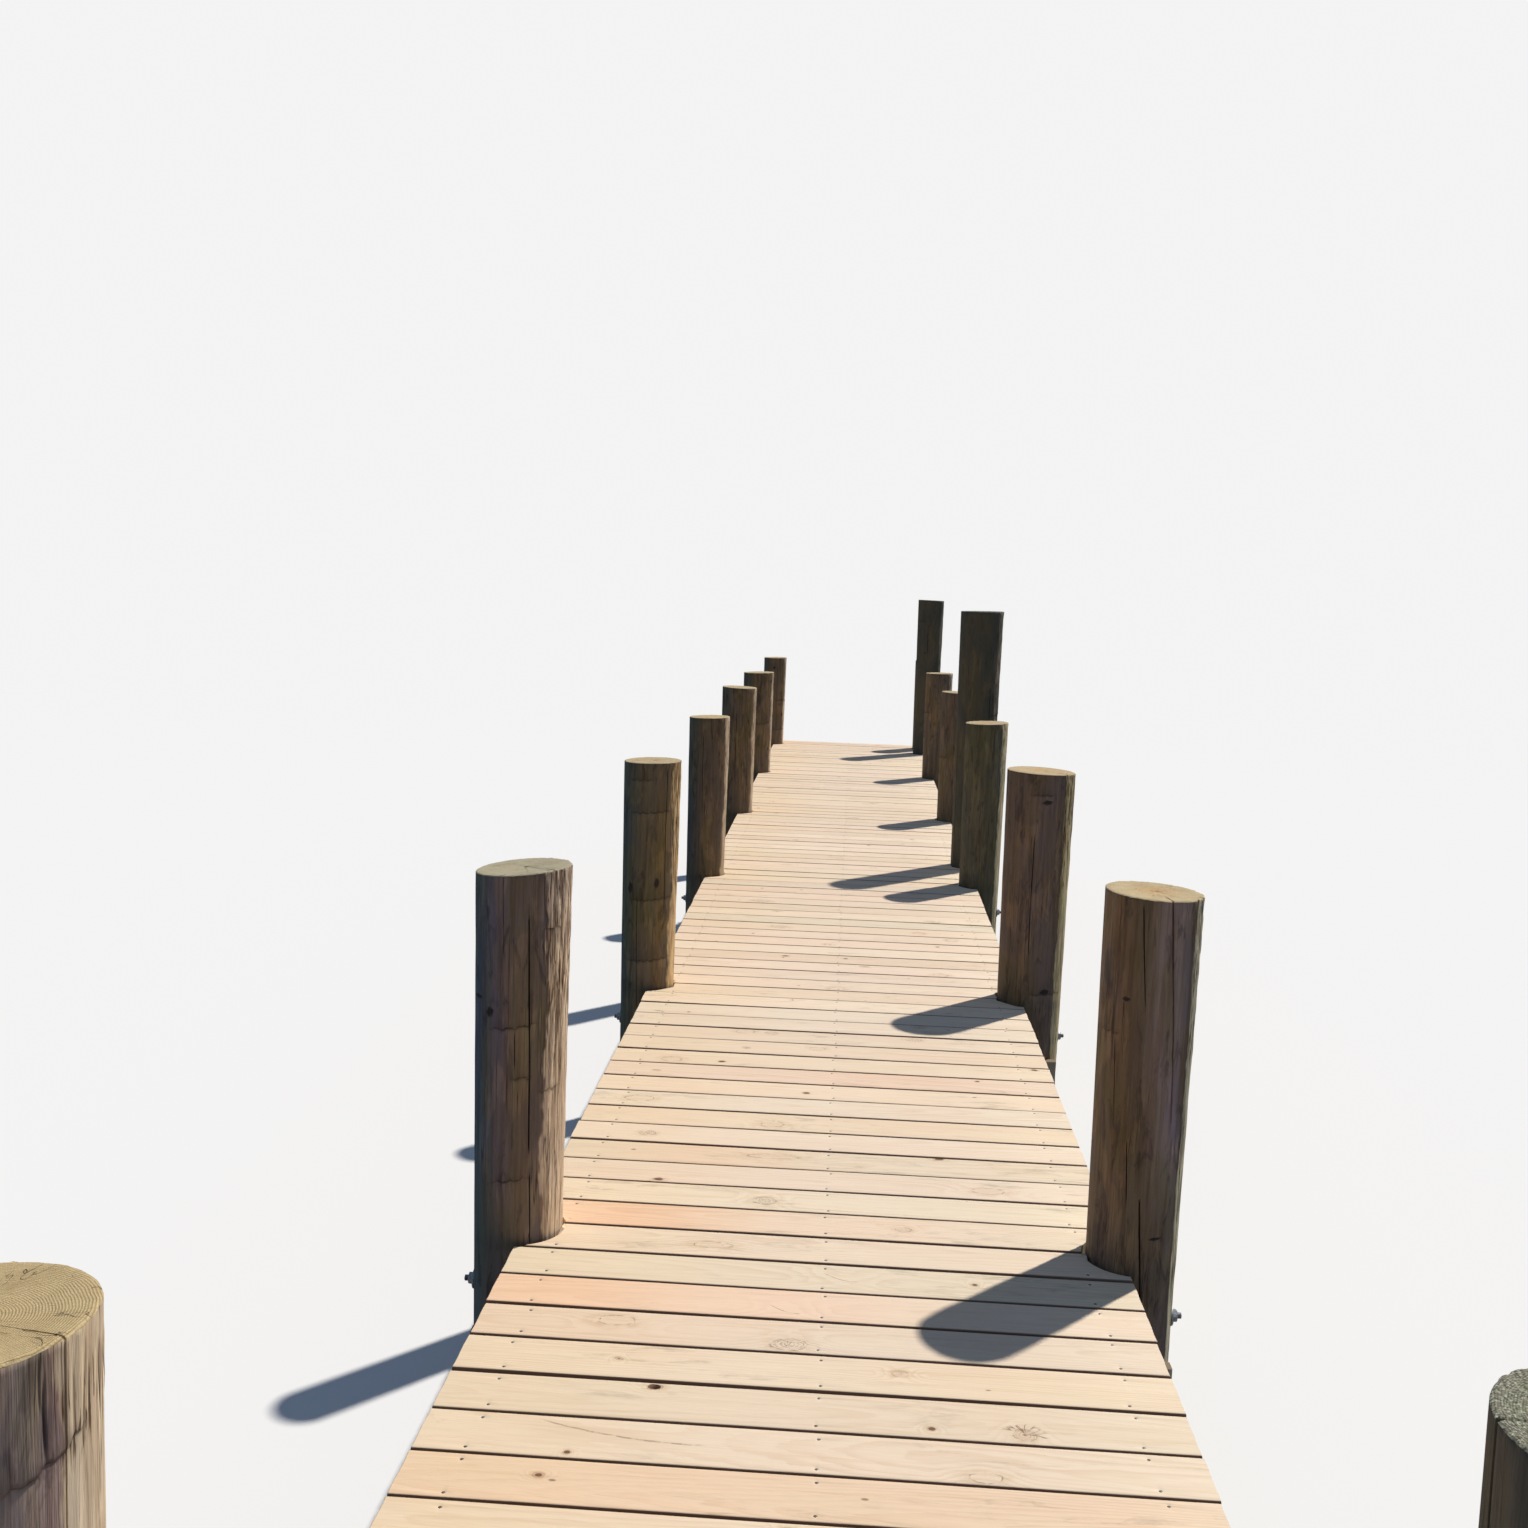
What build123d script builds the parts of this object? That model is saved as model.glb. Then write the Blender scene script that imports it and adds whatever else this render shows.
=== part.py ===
from build123d import *
import os
from math import atan, atan2, ceil, degrees, hypot, radians, tan

# Walkway boards, laid crosswise. All sizes are in millimetres.
bay_count = 6
boards_per_bay = 16
end_boards = 2
board_width = 140
board_thickness = 38
board_gap = 10
board_ease = 3
deck_width = 1524
deck_height = 1300

# Stringers: three lines of planks on edge under the boards.
stringer_depth = 184
stringer_thickness = 38
stringer_inset = 86
bays_per_stringer = 2
stringer_joint = 2

# Caps: a plank on the near and on the far face of each pair of piles.
cap_depth = 184
cap_thickness = 38
cap_end_inset = 20

# Round piles, peeled in long flats. The diameter is at deck level, the thick end is
# uppermost and the rise is the height above the deck.
pile_diameter = 228
pile_taper = 0.015
pile_rise = 915
peel_flats = 28
saw_waste = 20
pile_top_bevel = 3
dap_depth = 8
dap_room = 4

# No two piles are alike: what each adds to the diameter, to the rise and to its place
# along the walkway, and by how many degrees its sawn top climbs to the right, from the
# near end to the far end.
left_piles = (
    (2, 50, -50, 2), (-6, 30, -30, 4.8), (-15, 13, -18, 1.6), (-20, -17, 0, 1.8),
    (6, -12, 0, -1.2), (22, -40, -20, 2), (-10, -27, 0, 1.4)
)
right_piles = (
    (20, -25, 70, -2), (-6, 28, -3, -1.7), (22, 30, 25, -1.3), (-8, 11, 0, 2.2),
    (-6, 10, 0, -1.6), (-16, 7, 0, 1.2), (-2, -5, 0, -2.1)
)

# Tall piles in the right row: the bent each one stands by, how far past it, and the
# climb of its top.
tall_pile_rise = 1530
tall_pile_places = ((4, 600, 1.1), (7, -450, -1))
tall_dap_depth = 20

# The cut-outs that let the piles through the boards.
notch_clearance = 10
sawn_notch_sides = 8

# Lengths and levels that follow from the sizes above.
board_pitch = board_width + board_gap
bay_length = boards_per_bay * board_pitch
board_count = bay_count * boards_per_bay + 2 * end_boards
deck_length = board_count * board_pitch
deck_start = -deck_length / 2
first_bent = deck_start + end_boards * board_pitch
stringer_top = deck_height - board_thickness
cap_top = stringer_top - stringer_depth
cap_bottom = cap_top - cap_depth
stringer_face = deck_width / 2 - stringer_inset


def bent_place(bent):
    """Distance along the walkway of a pair of piles, counted from 1."""
    return first_bent + (bent - 1) * bay_length


class Pile:
    """One round pile of a row: its side, place, thickness and height."""

    def __init__(self, side, place, diameter, rise, seat, climb):
        self.side = side
        self.place = place
        self.radius = diameter / 2
        self.top = deck_height + rise
        self.seat = seat
        self.climb = climb
        self.across = side * (stringer_face + self.radius - seat)

    def radius_at(self, height):
        """Distance from the axis to the flats, at a height above the foot."""
        return self.radius + pile_taper / 2 * (height - deck_height)

    def shaft(self):
        """The tapered pile on the origin, its top sawn a little out of level."""
        foot = RegularPolygon(self.radius_at(0), peel_flats, major_radius=False)
        shaft = extrude(foot, self.top + saw_waste, taper=-degrees(atan(pile_taper / 2)))
        drop = self.radius_at(self.top) * tan(radians(abs(self.climb)))
        saw_cut = Plane((0, 0, self.top - drop)).rotated((0, -self.climb, 0))
        shaft = split(shaft, saw_cut, keep=Keep.BOTTOM)
        rim = shaft.faces().sort_by(Axis.Z)[-1].edges()
        return chamfer(rim, pile_top_bevel)

    def stringer_dap(self):
        """The flat sunk into the inner face, which seats the outer stringer."""
        block = Box(2 * self.radius, 4 * self.radius, stringer_depth + 2 * dap_room)
        away = self.side * (2 * self.radius - self.seat)
        return Pos(-away, 0, cap_top + stringer_depth / 2) * block

    def cap_dap(self, way, face, skew):
        """The flat sunk into the near or the far face, which seats a cap plank."""
        block = Box(4 * self.radius, 2 * self.radius, cap_depth + 2 * dap_room)
        away = Pos(0, way * (face + self.radius), cap_bottom + cap_depth / 2)
        return Rot(0, 0, skew) * away * block

    def notch(self, sawn):
        """Cutter for the notch that lets the pile through the boards."""
        reach = self.radius + notch_clearance
        if sawn:
            half_side = 180 / sawn_notch_sides
            outline = RegularPolygon(reach, sawn_notch_sides, major_radius=False, rotation=half_side)
        else:
            outline = Circle(reach)
        cutter = extrude(outline, board_thickness * 2, both=True)
        return Pos(self.across, self.place, deck_height) * cutter

    def in_place(self, piece):
        """Moves a piece made on the origin to where the pile stands."""
        return Pos(self.across, self.place, 0) * piece


def row_pile(side, bent):
    """The pile of one row at a bent, counted from 1 at the near end."""
    row = left_piles if side < 0 else right_piles
    wider, higher, further, climb = row[(bent - 1) % len(row)]
    place = bent_place(bent) + further
    return Pile(side, place, pile_diameter + wider, pile_rise + higher, dap_depth, climb)


class Bent:
    """A pair of piles with the two cap planks that clasp them."""

    def __init__(self, number):
        self.number = number
        self.left = row_pile(-1, number)
        self.right = row_pile(1, number)
        run = self.right.across - self.left.across
        offset = self.right.place - self.left.place
        self.skew = degrees(atan2(offset, run))
        self.span = hypot(run, offset)
        self.face = min(self.left.radius, self.right.radius) - dap_depth

    def pile(self, pile):
        """A pile of the pair, flattened for its stringer and for both planks."""
        piece = pile.shaft() - pile.stringer_dap()
        for way in (-1, 1):
            piece -= pile.cap_dap(way, self.face, self.skew)
        return pile.in_place(piece)

    def cap(self):
        """Both cap planks, seated in the flats of the two piles."""
        past_left = self.left.radius - cap_end_inset
        past_right = self.right.radius - cap_end_inset
        length = past_left + self.span + past_right
        along = length / 2 - past_left
        height = cap_top - cap_depth / 2
        planks = []
        for way in (-1, 1):
            away = way * (self.face + cap_thickness / 2)
            planks.append(Pos(along, away, height) * Box(length, cap_thickness, cap_depth))
        return self.left.in_place(Rot(0, 0, self.skew) * Compound(children=planks))


def tall_pile(number):
    """A tall pile of the right row, counted from 0."""
    bent, past, climb = tall_pile_places[number]
    place = bent_place(bent) + past
    return Pile(1, place, pile_diameter, tall_pile_rise, tall_dap_depth, climb)


def notch_cutters(bents, tall_piles):
    """Every notch cutter in its place, with the pile that it clears."""
    cutters = []
    for bent in bents:
        for pile in (bent.left, bent.right):
            cutters.append((pile, pile.notch(sawn=bent.number % 2 == 1)))
    for pile in tall_piles:
        cutters.append((pile, pile.notch(sawn=False)))
    return cutters


def deck_board(number, cutters):
    """One eased board, cut out round each pile that stands in it."""
    middle = deck_start + (number + 0.5) * board_pitch
    board = Box(deck_width, board_width, board_thickness)
    long_edges = board.edges().filter_by(Axis.X).group_by(Axis.Z)[-1]
    board = Pos(0, middle, deck_height - board_thickness / 2) * chamfer(long_edges, board_ease)
    for pile, cutter in cutters:
        if abs(pile.place - middle) < 2 * pile.radius + board_width:
            board -= cutter
    return board


def deck_bay(bay, cutters):
    """The boards of one bay; the first and last bays carry the end boards."""
    first = end_boards + (bay - 1) * boards_per_bay
    last = first + boards_per_bay
    if bay == 1:
        first = 0
    if bay == bay_count:
        last = board_count
    return Compound(children=[deck_board(number, cutters) for number in range(first, last)])


def stringer(across, length_number, length_count):
    """One length of a stringer line, butted to the next over a bent."""
    first_bay = length_number * bays_per_stringer
    last_bay = min(first_bay + bays_per_stringer, bay_count)
    start = bent_place(first_bay + 1) + stringer_joint / 2
    end = bent_place(last_bay + 1) - stringer_joint / 2
    if length_number == 0:
        start = deck_start
    if length_number == length_count - 1:
        end = -deck_start
    centre = Pos(across, (start + end) / 2, stringer_top - stringer_depth / 2)
    return centre * Box(stringer_thickness, end - start, stringer_depth)


def all_pieces():
    """Every piece of the jetty by name."""
    bents = [Bent(number) for number in range(1, bay_count + 2)]
    tall_piles = [tall_pile(number) for number in range(len(tall_pile_places))]
    pieces = {}
    for bent in bents:
        pieces[f"pile_left_{bent.number}"] = bent.pile(bent.left)
        pieces[f"pile_right_{bent.number}"] = bent.pile(bent.right)
        pieces[f"cap_{bent.number}"] = bent.cap()
    for number, pile in enumerate(tall_piles, start=1):
        pieces[f"tall_pile_{number}"] = pile.in_place(pile.shaft() - pile.stringer_dap())
    length_count = ceil(bay_count / bays_per_stringer)
    line_place = stringer_face - stringer_thickness / 2
    for name, across in (("left", -line_place), ("middle", 0), ("right", line_place)):
        for number in range(length_count):
            pieces[f"stringer_{name}_{number + 1}"] = stringer(across, number, length_count)
    cutters = notch_cutters(bents, tall_piles)
    for bay in range(1, bay_count + 1):
        pieces[f"deck_bay_{bay}"] = deck_bay(bay, cutters)
    return pieces


os.makedirs("parts", exist_ok=True)
for name, piece in all_pieces().items():
    export_step(piece, f"parts/{name}.step")
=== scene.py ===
from collections import namedtuple
from math import cos, pi, radians, sin, tan

import bpy
import numpy as np
from mathutils import Matrix, Vector


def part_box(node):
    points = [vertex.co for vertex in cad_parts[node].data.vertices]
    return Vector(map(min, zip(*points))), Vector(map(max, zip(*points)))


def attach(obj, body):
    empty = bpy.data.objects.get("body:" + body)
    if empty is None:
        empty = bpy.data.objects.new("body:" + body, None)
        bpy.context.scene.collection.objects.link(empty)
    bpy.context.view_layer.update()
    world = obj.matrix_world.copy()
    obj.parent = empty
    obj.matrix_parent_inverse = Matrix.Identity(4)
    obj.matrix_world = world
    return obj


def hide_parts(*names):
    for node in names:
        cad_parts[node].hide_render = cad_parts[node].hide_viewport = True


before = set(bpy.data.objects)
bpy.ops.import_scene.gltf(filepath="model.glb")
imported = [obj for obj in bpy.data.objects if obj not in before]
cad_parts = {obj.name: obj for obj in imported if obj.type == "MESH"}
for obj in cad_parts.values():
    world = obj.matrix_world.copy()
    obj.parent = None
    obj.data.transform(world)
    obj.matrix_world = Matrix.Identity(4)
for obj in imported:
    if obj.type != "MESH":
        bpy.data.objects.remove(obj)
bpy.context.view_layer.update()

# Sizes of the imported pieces, in metres. X runs across the walkway, Y along it.
bay_count = sum(name.startswith("deck_bay_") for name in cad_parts)
board_pitch = 0.150
board_gap = 0.010
deck_low, deck_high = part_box("deck_bay_1")
deck_top = deck_high.z
deck_half = deck_high.x
board_thickness = deck_high.z - deck_low.z
deck_start = deck_low.y - board_gap / 2
stringer_low, stringer_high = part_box("stringer_right_1")
pile_taper = 0.015
dap_room = 0.004
notch_clearance = 0.010

Nail = namedtuple("Nail", "x share jitter")
Hole = namedtuple("Hole", "x share half_length half_width depth")
Knot = namedtuple("Knot", "x y half_length half_width dark")
Check = namedtuple("Check", "bearing high low width depth")
Ledge = namedtuple("Ledge", "height tilt bearing half_width")

# The first of the numbers that each kind of piece draws its random numbers from.
board_seed = 7
gap_seed = 31
stringer_seed = 53
cap_seed = 67
pile_seed = 101
bolt_seed = 211
tall_bolt_seed = 223

# Boards: the gaps between them by kind, how common each kind is, and the nails.
gap_widths = {"narrow": (0.0062, 0.0072), "usual": (0.0076, 0.0088), "wide": (0.0092, 0.0104)}
gap_shares = (0.38, 0.44, 0.18)
gap_wander = 0.0012
gap_taper = 0.0016
board_ease = 0.0035
framing_ease = 0.003
end_bevel = 0.0015
end_reach = 0.09
end_slip = (-0.0022, 0.0010)
saw_wave = 0.0006
bow_limits = (0.0008, 0.0008, 0.0006, 0.0005)
station_count = 13
notch_lines = 19
line_room = 0.004
nail_columns = (-0.656, 0.010, 0.656)
nail_shares = (0.13, 0.86)
nail_scatter = (0.006, 0.003)
nail_steps = (-0.0062, -0.0038, 0.0, 0.0038, 0.0062)
nail_depth = 0.0016
nail_rise = 0.0006
nail_end_room = 0.03
nail_sides = 10
nail_profile = ((0.0014, 0.0003), (0.0032, 0.0001), (0.0040, -0.0004), (0.0040, -0.002))
hole_steps = (-1, -0.8, -0.45, 0, 0.45, 0.8, 1)
# Painted shade on the sides and underside, which lie in the gaps and under the deck, and on the
# line beside an eased edge.
side_shade = 0.6
lip_shade = 0.85

# Linear base colours of the boards, how common each is, and how far they stray.
board_colours = {
    "cream": (0.900, 0.712, 0.530), "pale": (0.915, 0.740, 0.565), "pink": (0.915, 0.700, 0.530),
    "green": (0.885, 0.722, 0.535), "straw": (0.905, 0.722, 0.522),
}
colour_shares = (0.42, 0.26, 0.04, 0.08, 0.20)
tone_range = (0.96, 1.04)
hue_range = (0.985, 1.015)
# The nearest boards: the gap before each, and its colour.
near_boards = {
    10: ("usual", "straw"), 11: ("usual", "cream"), 12: ("usual", "cream"), 13: ("wide", "cream"),
    14: ("usual", "cream"), 15: ("usual", "cream"), 16: ("usual", "green"), 17: ("wide", "cream"),
    18: ("wide", "cream"), 19: ("narrow", "green"), 20: ("wide", "pale"), 21: ("narrow", "green"),
    22: ("usual", "pale"), 23: ("usual", "straw"), 24: ("narrow", "pale"), 25: ("usual", "straw"),
}
other_boards = (None, None)
# Washes of another colour: middle and reach across the walkway, factors. The usual ones are
# on every board: a warmer wash at the left end, and a paler band at the right end that is a
# painted sheen of sunlight.
usual_washes_and_sheen = ((-0.66, 0.34, (1.00, 0.965, 0.89)), (0.72, 0.20, (1.07, 1.09, 1.08)))
board_washes = {
    8: ((-0.50, 0.60, (1.00, 0.945, 0.90)),),
    10: ((-0.20, 0.90, (1.02, 0.955, 0.89)),),
    13: ((0.45, 0.40, (1.01, 0.975, 0.93)),),
    14: ((0.00, 1.20, (0.985, 1.015, 1.005)),),
    15: ((-0.60, 0.40, (1.04, 0.885, 0.81)), (0.00, 0.25, (1.02, 0.955, 0.93))),
    18: ((-0.50, 0.28, (1.02, 0.835, 0.745)), (0.10, 0.30, (1.01, 0.97, 0.95))),
    21: ((-0.35, 0.25, (1.02, 0.93, 0.88)),),
    26: ((0.20, 0.40, (1.02, 0.94, 0.90)),),
}
# Knots that stand out, by board: place across the walkway, share of the board's width, half
# length, half width and how dark. A pale knot is an oval outline, a middling one has rings
# and specks, a dark one is brown through; a shake is a curved line in the grain.
shake = -1.0
board_knots = {
    10: ((-0.502, 0.62, 0.012, 0.009, 0.80),),
    11: (
        (-0.464, 0.12, 0.009, 0.008, 0.85), (-0.370, 0.66, 0.170, 0.040, shake),
        (0.330, 0.16, 0.032, 0.018, 0.15),
    ),
    12: (
        (-0.329, 0.88, 0.018, 0.013, 1.00), (0.238, 0.22, 0.011, 0.009, 0.90),
        (0.421, 0.22, 0.024, 0.020, 0.60),
    ),
    13: ((0.180, 0.62, 0.018, 0.012, 0.30), (-0.420, 0.55, 0.009, 0.007, 0.70)),
    14: ((-0.454, 0.66, 0.043, 0.023, 0.05), (-0.060, 0.22, 0.038, 0.026, 0.42)),
    15: ((-0.076, 0.30, 0.036, 0.026, shake),),
    16: ((0.050, 0.50, 0.042, 0.026, shake), (0.372, 0.55, 0.009, 0.008, 0.85)),
    17: ((-0.274, 0.45, 0.050, 0.018, 0.22),),
    18: ((0.210, 0.50, 0.020, 0.014, 0.30),),
    19: ((-0.160, 0.40, 0.030, 0.024, 0.38),),
    20: ((-0.463, 0.12, 0.018, 0.012, 0.90), (0.453, 0.42, 0.045, 0.022, 0.08)),
    21: ((-0.155, 0.60, 0.075, 0.016, 0.15), (0.330, 0.95, 0.020, 0.012, 0.85)),
    22: ((-0.540, 0.45, 0.024, 0.018, 0.45),),
    23: ((-0.170, 0.35, 0.036, 0.026, 0.20),),
    24: ((-0.610, 0.50, 0.045, 0.026, 0.12),),
}
most_knots = 3
random_shades = (0.05, 0.15, 0.25, 0.4, 0.6, 0.85, 1.0, shake)
# Where a knot has fallen out, by board.
board_holes = {12: Hole(-0.329, 0.88, 0.012, 0.009, 0.010)}

# How a pile looks. Bearings are in degrees from the near side towards +X, and heights are
# above the deck.
# checks: drying checks, each with its bearing, upper end, lower end, width and depth.
# ledges: where branches ringed the stem, each with its height, tilt, bearing and half width.
# knots: bearing, height, half width and half height.
# strips: other colours on the shaded side, each with its bearing, half width and factors; the
# bluer strips on the side away from the deck are painted skylight and the rest are tones of the
# wood; strip_foot is the height below which they have faded out.
# grain_turn: turn of the grain round the pile, in degrees for each metre downwards.
# tones: base colour of the shaded wood, and the paler colour of the sun side, which is partly
# bleached wood and partly painted sunlight.
# bleached_and_lit: where that sun side ends and over how much it fades, in degrees from its middle.
# torn: how far its torn fibres stand out; torn_band is a band that is torn alone, by the
# heights where it begins, is full, weakens and ends.
# heart: how orange the heart of the sawn top is; top_tint is factors of the top's colour.
usual_look = {
    "checks": (), "ledges": (), "knots": (), "strips": (), "strip_foot": None, "grain_turn": 4,
    "tones": ((0.180, 0.130, 0.070), (0.78, 0.62, 0.42)), "torn": 1, "torn_band": None,
    "heart": 0.60, "top_tint": (1, 1, 1),
}
# Where the paler sun side ends by default, on the left and on the right piles: it is partly bleached wood and
# partly painted sunlight.
usual_bleached_and_lit = {-1: (84, 22), 1: (92, 6)}
pile_looks = {
    "pile_left_1": {
        "checks": (
            (79, 0.99, 0.30, 0.0020, 0.007), (68, 0.945, 0.85, 0.0050, 0.005),
            (20, 0.75, 0.10, 0.0040, 0.012), (-20, 0.99, 0.50, 0.0030, 0.014),
        ),
        "ledges": ((0.862, 0.034, 66, 26), (0.35, 0.020, 20, 40)),
        "strips": ((52, 16, (1.05, 1.05, 1.15)), (72, 12, (0.96, 0.92, 1.06))),
        "tones": ((0.44, 0.328, 0.242), (0.93, 0.745, 0.51)),
        "bleached_and_lit": (72, 14),
        "torn": 0.5,
        "torn_band": (0.835, 0.855, 0.895, 0.935),
        "heart": 0.12,
        "top_tint": (1.02, 0.98, 0.86),
    },
    "pile_left_2": {
        "checks": (
            (22.6, 0.84, 0.22, 0.0044, 0.016), (23.3, 0.18, -0.10, 0.0036, 0.012),
            (-8, 0.97, 0.72, 0.0022, 0.006), (4, 0.56, 0.43, 0.0028, 0.006),
            (57, 0.96, 0.68, 0.0040, 0.010), (66, 0.80, 0.10, 0.0030, 0.008),
            (50, 0.34, 0.02, 0.0028, 0.008),
        ),
        "ledges": (
            (0.800, 0.004, 52, 14), (0.560, 0.018, 2, 34), (0.428, 0.004, 13, 14),
            (0.394, 0.014, 50, 18), (0.170, 0.020, -2, 24),
        ),
        "knots": ((-28, 0.590, 0.012, 0.014), (-50, 0.62, 0.02, 0.006)),
        "strips": (
            # The first strip, bluer, on the side away from the deck, is painted skylight.
            (-62, 26, (0.78, 0.98, 1.22)), (-16, 14, (1.08, 1.04, 1.30)), (12, 12, (1.06, 1.02, 0.96)),
        ),
        "grain_turn": 9,
        "tones": ((0.226, 0.174, 0.124), (0.97, 0.77, 0.54)),
        "bleached_and_lit": (101, 14),
        "heart": 0.15,
        "top_tint": (0.83, 0.93, 1.06),
    },
    "pile_left_3": {
        "checks": ((40, 0.90, 0.30, 0.0036, 0.012), (-20, 0.40, -0.10, 0.0032, 0.010)),
        "ledges": (
            (0.858, 0.003, -15, 30), (0.727, 0.008, 5, 50), (0.372, 0.010, 10, 55), (0.122, 0.012, 5, 60),
        ),
        "knots": ((-38, 0.414, 0.014, 0.024), (22, 0.439, 0.011, 0.022)),
        # The first strip, bluer, on the side away from the deck, is painted skylight.
        "strips": ((-74, 20, (0.78, 1.02, 1.24)), (30, 14, (1.12, 1.04, 0.86))),
        "tones": ((0.190, 0.143, 0.076), (0.92, 0.66, 0.33)),
        "bleached_and_lit": (92, 22),
    },
    "pile_left_4": {
        # This strip, bluer, on the side away from the deck, is painted skylight.
        "strips": ((-74, 20, (0.78, 1.02, 1.24)),),
        "tones": ((0.165, 0.118, 0.066), (0.80, 0.63, 0.42)),
        "top_tint": (1.08, 1.06, 0.98),
    },
    "pile_right_1": {
        "checks": (
            (-91, 0.95, 0.20, 0.0060, 0.020), (-62, 0.60, -0.30, 0.0050, 0.018), (-20, 0.9, 0.3, 0.005, 0.02),
        ),
        "strips": ((-30, 60, (1.55, 1.70, 2.60)),),
        "top_tint": (1.14, 1.16, 0.95),
    },
    "pile_right_2": {
        "checks": (
            (25.4, 0.97, 0.36, 0.0048, 0.018), (-8, 0.93, 0.64, 0.0032, 0.008),
            (-48, 0.60, 0.36, 0.0028, 0.008), (-30, 0.34, 0.16, 0.0028, 0.008),
            (-14, 0.20, -0.35, 0.0046, 0.016), (47, 0.42, -0.20, 0.0060, 0.014),
        ),
        "ledges": ((0.60, 0.006, -60, 20),),
        "knots": ((-36, 0.69, 0.011, 0.006), (18, 0.095, 0.018, 0.004)),
        "strips": (
            (18, 25, (1.76, 1.82, 2.50)), (-40, 18, (0.98, 0.90, 0.80)), (60, 18, (0.96, 0.84, 0.70)),
        ),
        "strip_foot": 0.26,
        "grain_turn": 33,
        "tones": ((0.202, 0.142, 0.086), (1.00, 0.88, 0.56)),
        "bleached_and_lit": (89, 4),
        "heart": 1.00,
        "top_tint": (1.09, 1.08, 1.04),
    },
    "pile_right_3": {
        "checks": ((46, 0.95, 0.10, 0.0055, 0.016), (-12, 0.70, 0.20, 0.0034, 0.012)),
        "ledges": ((0.86, 0.004, 0, 25), (0.05, 0.006, 25, 40)),
        "knots": ((8, 0.83, 0.022, 0.010), (22, 0.06, 0.022, 0.012)),
        "strips": ((10, 22, (1.15, 1.20, 1.32)),),
        "tones": ((0.182, 0.124, 0.074), (0.96, 0.77, 0.40)),
        "bleached_and_lit": (96, 4),
        "top_tint": (1.10, 1.05, 1.00),
    },
    "pile_right_4": {"tones": ((0.138, 0.122, 0.064), (0.94, 0.80, 0.46)), "bleached_and_lit": (93, 5)},
}
close_piles = ("pile_left_1", "pile_left_2", "pile_left_3", "pile_right_1", "pile_right_2", "pile_right_3")
old_piles = ("pile_right_1", "tall_pile_1", "tall_pile_2")
# Middle of the paler sun side, which faces the sun and is partly bleached wood and partly
# painted sunlight, and factors of the shaded colour that paint bluish skylight on the side away
# from the deck.
sun_side_bearing = 137
away_skylight_factors = {-1: (0.66, 0.93, 1.16), 1: (1.30, 1.36, 1.46)}
grain_turn_level = 0.5
strip_fade = 0.16

# The mesh of a pile: columns and rings are closer on the piles near the camera, and closer
# still over the edge of their paler sun side.
close_columns = 150
far_columns = 84
close_rings = (0.011, 0.050)
far_rings = (0.022, 0.060)
fine_step = 0.0024
fine_lead = 0.15
fine_spread = 1.2
check_steps = (-1.3, -1, -0.4, 0, 0.4, 1, 1.3)
ledge_steps = (-0.005, -0.0015, 0, 0.0015, 0.005)
ledge_room = 0.006
dap_steps = (-0.0003, 0.0003)
dap_step_room = 0.004
least_step = 0.0004
top_bevel = 0.003
top_lift = 0.0017
top_ring_depth = 0.05
top_roughness = 0.00025
top_split_depth = 0.005
top_rim_drop = 0.0004
ring_shares = (1, 0.975, 0.93, 0.86, 0.76, 0.64, 0.50, 0.36, 0.22, 0.10)

# The relief of a pile: the flats that peeling leaves and how deep the hollows between them
# are, the lifted slivers, and the ledges.
peel_flats = ((9, 0.0016), (14, 0.0010), (23, 0.0005))
sliver_width = 0.005
sliver_step = 0.012
sliver_lift = 0.0024
sliver_smoothing = 14
ledge_cut = 0.0020
ledge_swell = 0.0024
knot_reach = 0.05
# Width of the growth rings of a plank and of a pile.
plank_ring_width = 0.0085
pile_ring_width = 0.0029
knot_names = ("knot_a", "knot_b", "knot_c")
far_away = 9.0

# Bolts, nuts and washers.
washer_radius = 0.026
washer_thickness = 0.004
washer_edge = 0.001
washer_sides = 28
nut_radius = 0.0165
nut_height = 0.0125
nut_crown = 0.84
nut_chamfer = 0.0022
nut_sides = 6
bore_radius = 0.006
rod_radius = 0.008
rod_length = 0.024
rod_sides = 14
tip_radius = 0.004
tip_slope = 0.0008
thread_root = rod_radius * 0.86
thread_start = 0.002
thread_count = 7
thread_pitch = 0.0018
stringer_bolt_drop = 0.112
cap_bolt_inset = 0.050
cap_bolt_offset = 0.030
bolt_sink = 0.001

# Camera, floor and light.
camera_place = Vector((0.0176, -8.544, 2.961))
camera_pitch = radians(6.82)
camera_yaw = radians(3.18)
camera_roll = radians(1.98)
sensor_width = 36.0
photo_width = 1528
focal_pixels = 1529
sight_length = 500
floor_half = 400
floor_colour = (0.905, 0.885, 0.855)
floor_bounce = (0.19, 0.19, 0.19)
floor_fade = (11.0, 30.0)
backdrop_colour = (0.90, 0.90, 0.90)
sky_light = (0.110, 0.158, 0.245)
sun_bearing = radians(43)
sun_height = radians(55.6)
sun_width = radians(1.2)
sun_strength = 3.4
sun_colour = (1.0, 0.965, 0.91)


def random_from(*numbers):
    """A source of repeatable random numbers for one piece."""
    return np.random.default_rng(numbers)


def smooth_step(values, low, high):
    """Rises gently from 0 at low to 1 at high."""
    share = np.clip((values - low) / (high - low), 0, 1)
    return share * share * (3 - 2 * share)


def drift(values, length, rng):
    """A smooth random curve between about -1 and 1, with swings about that long."""
    curve = 0
    for octave in range(4):
        turn = 2 * pi * values * 1.7 ** octave / length
        curve = curve + np.sin(turn + rng.uniform(0, 2 * pi)) * 0.6 ** octave
    return curve / 1.6


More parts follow.
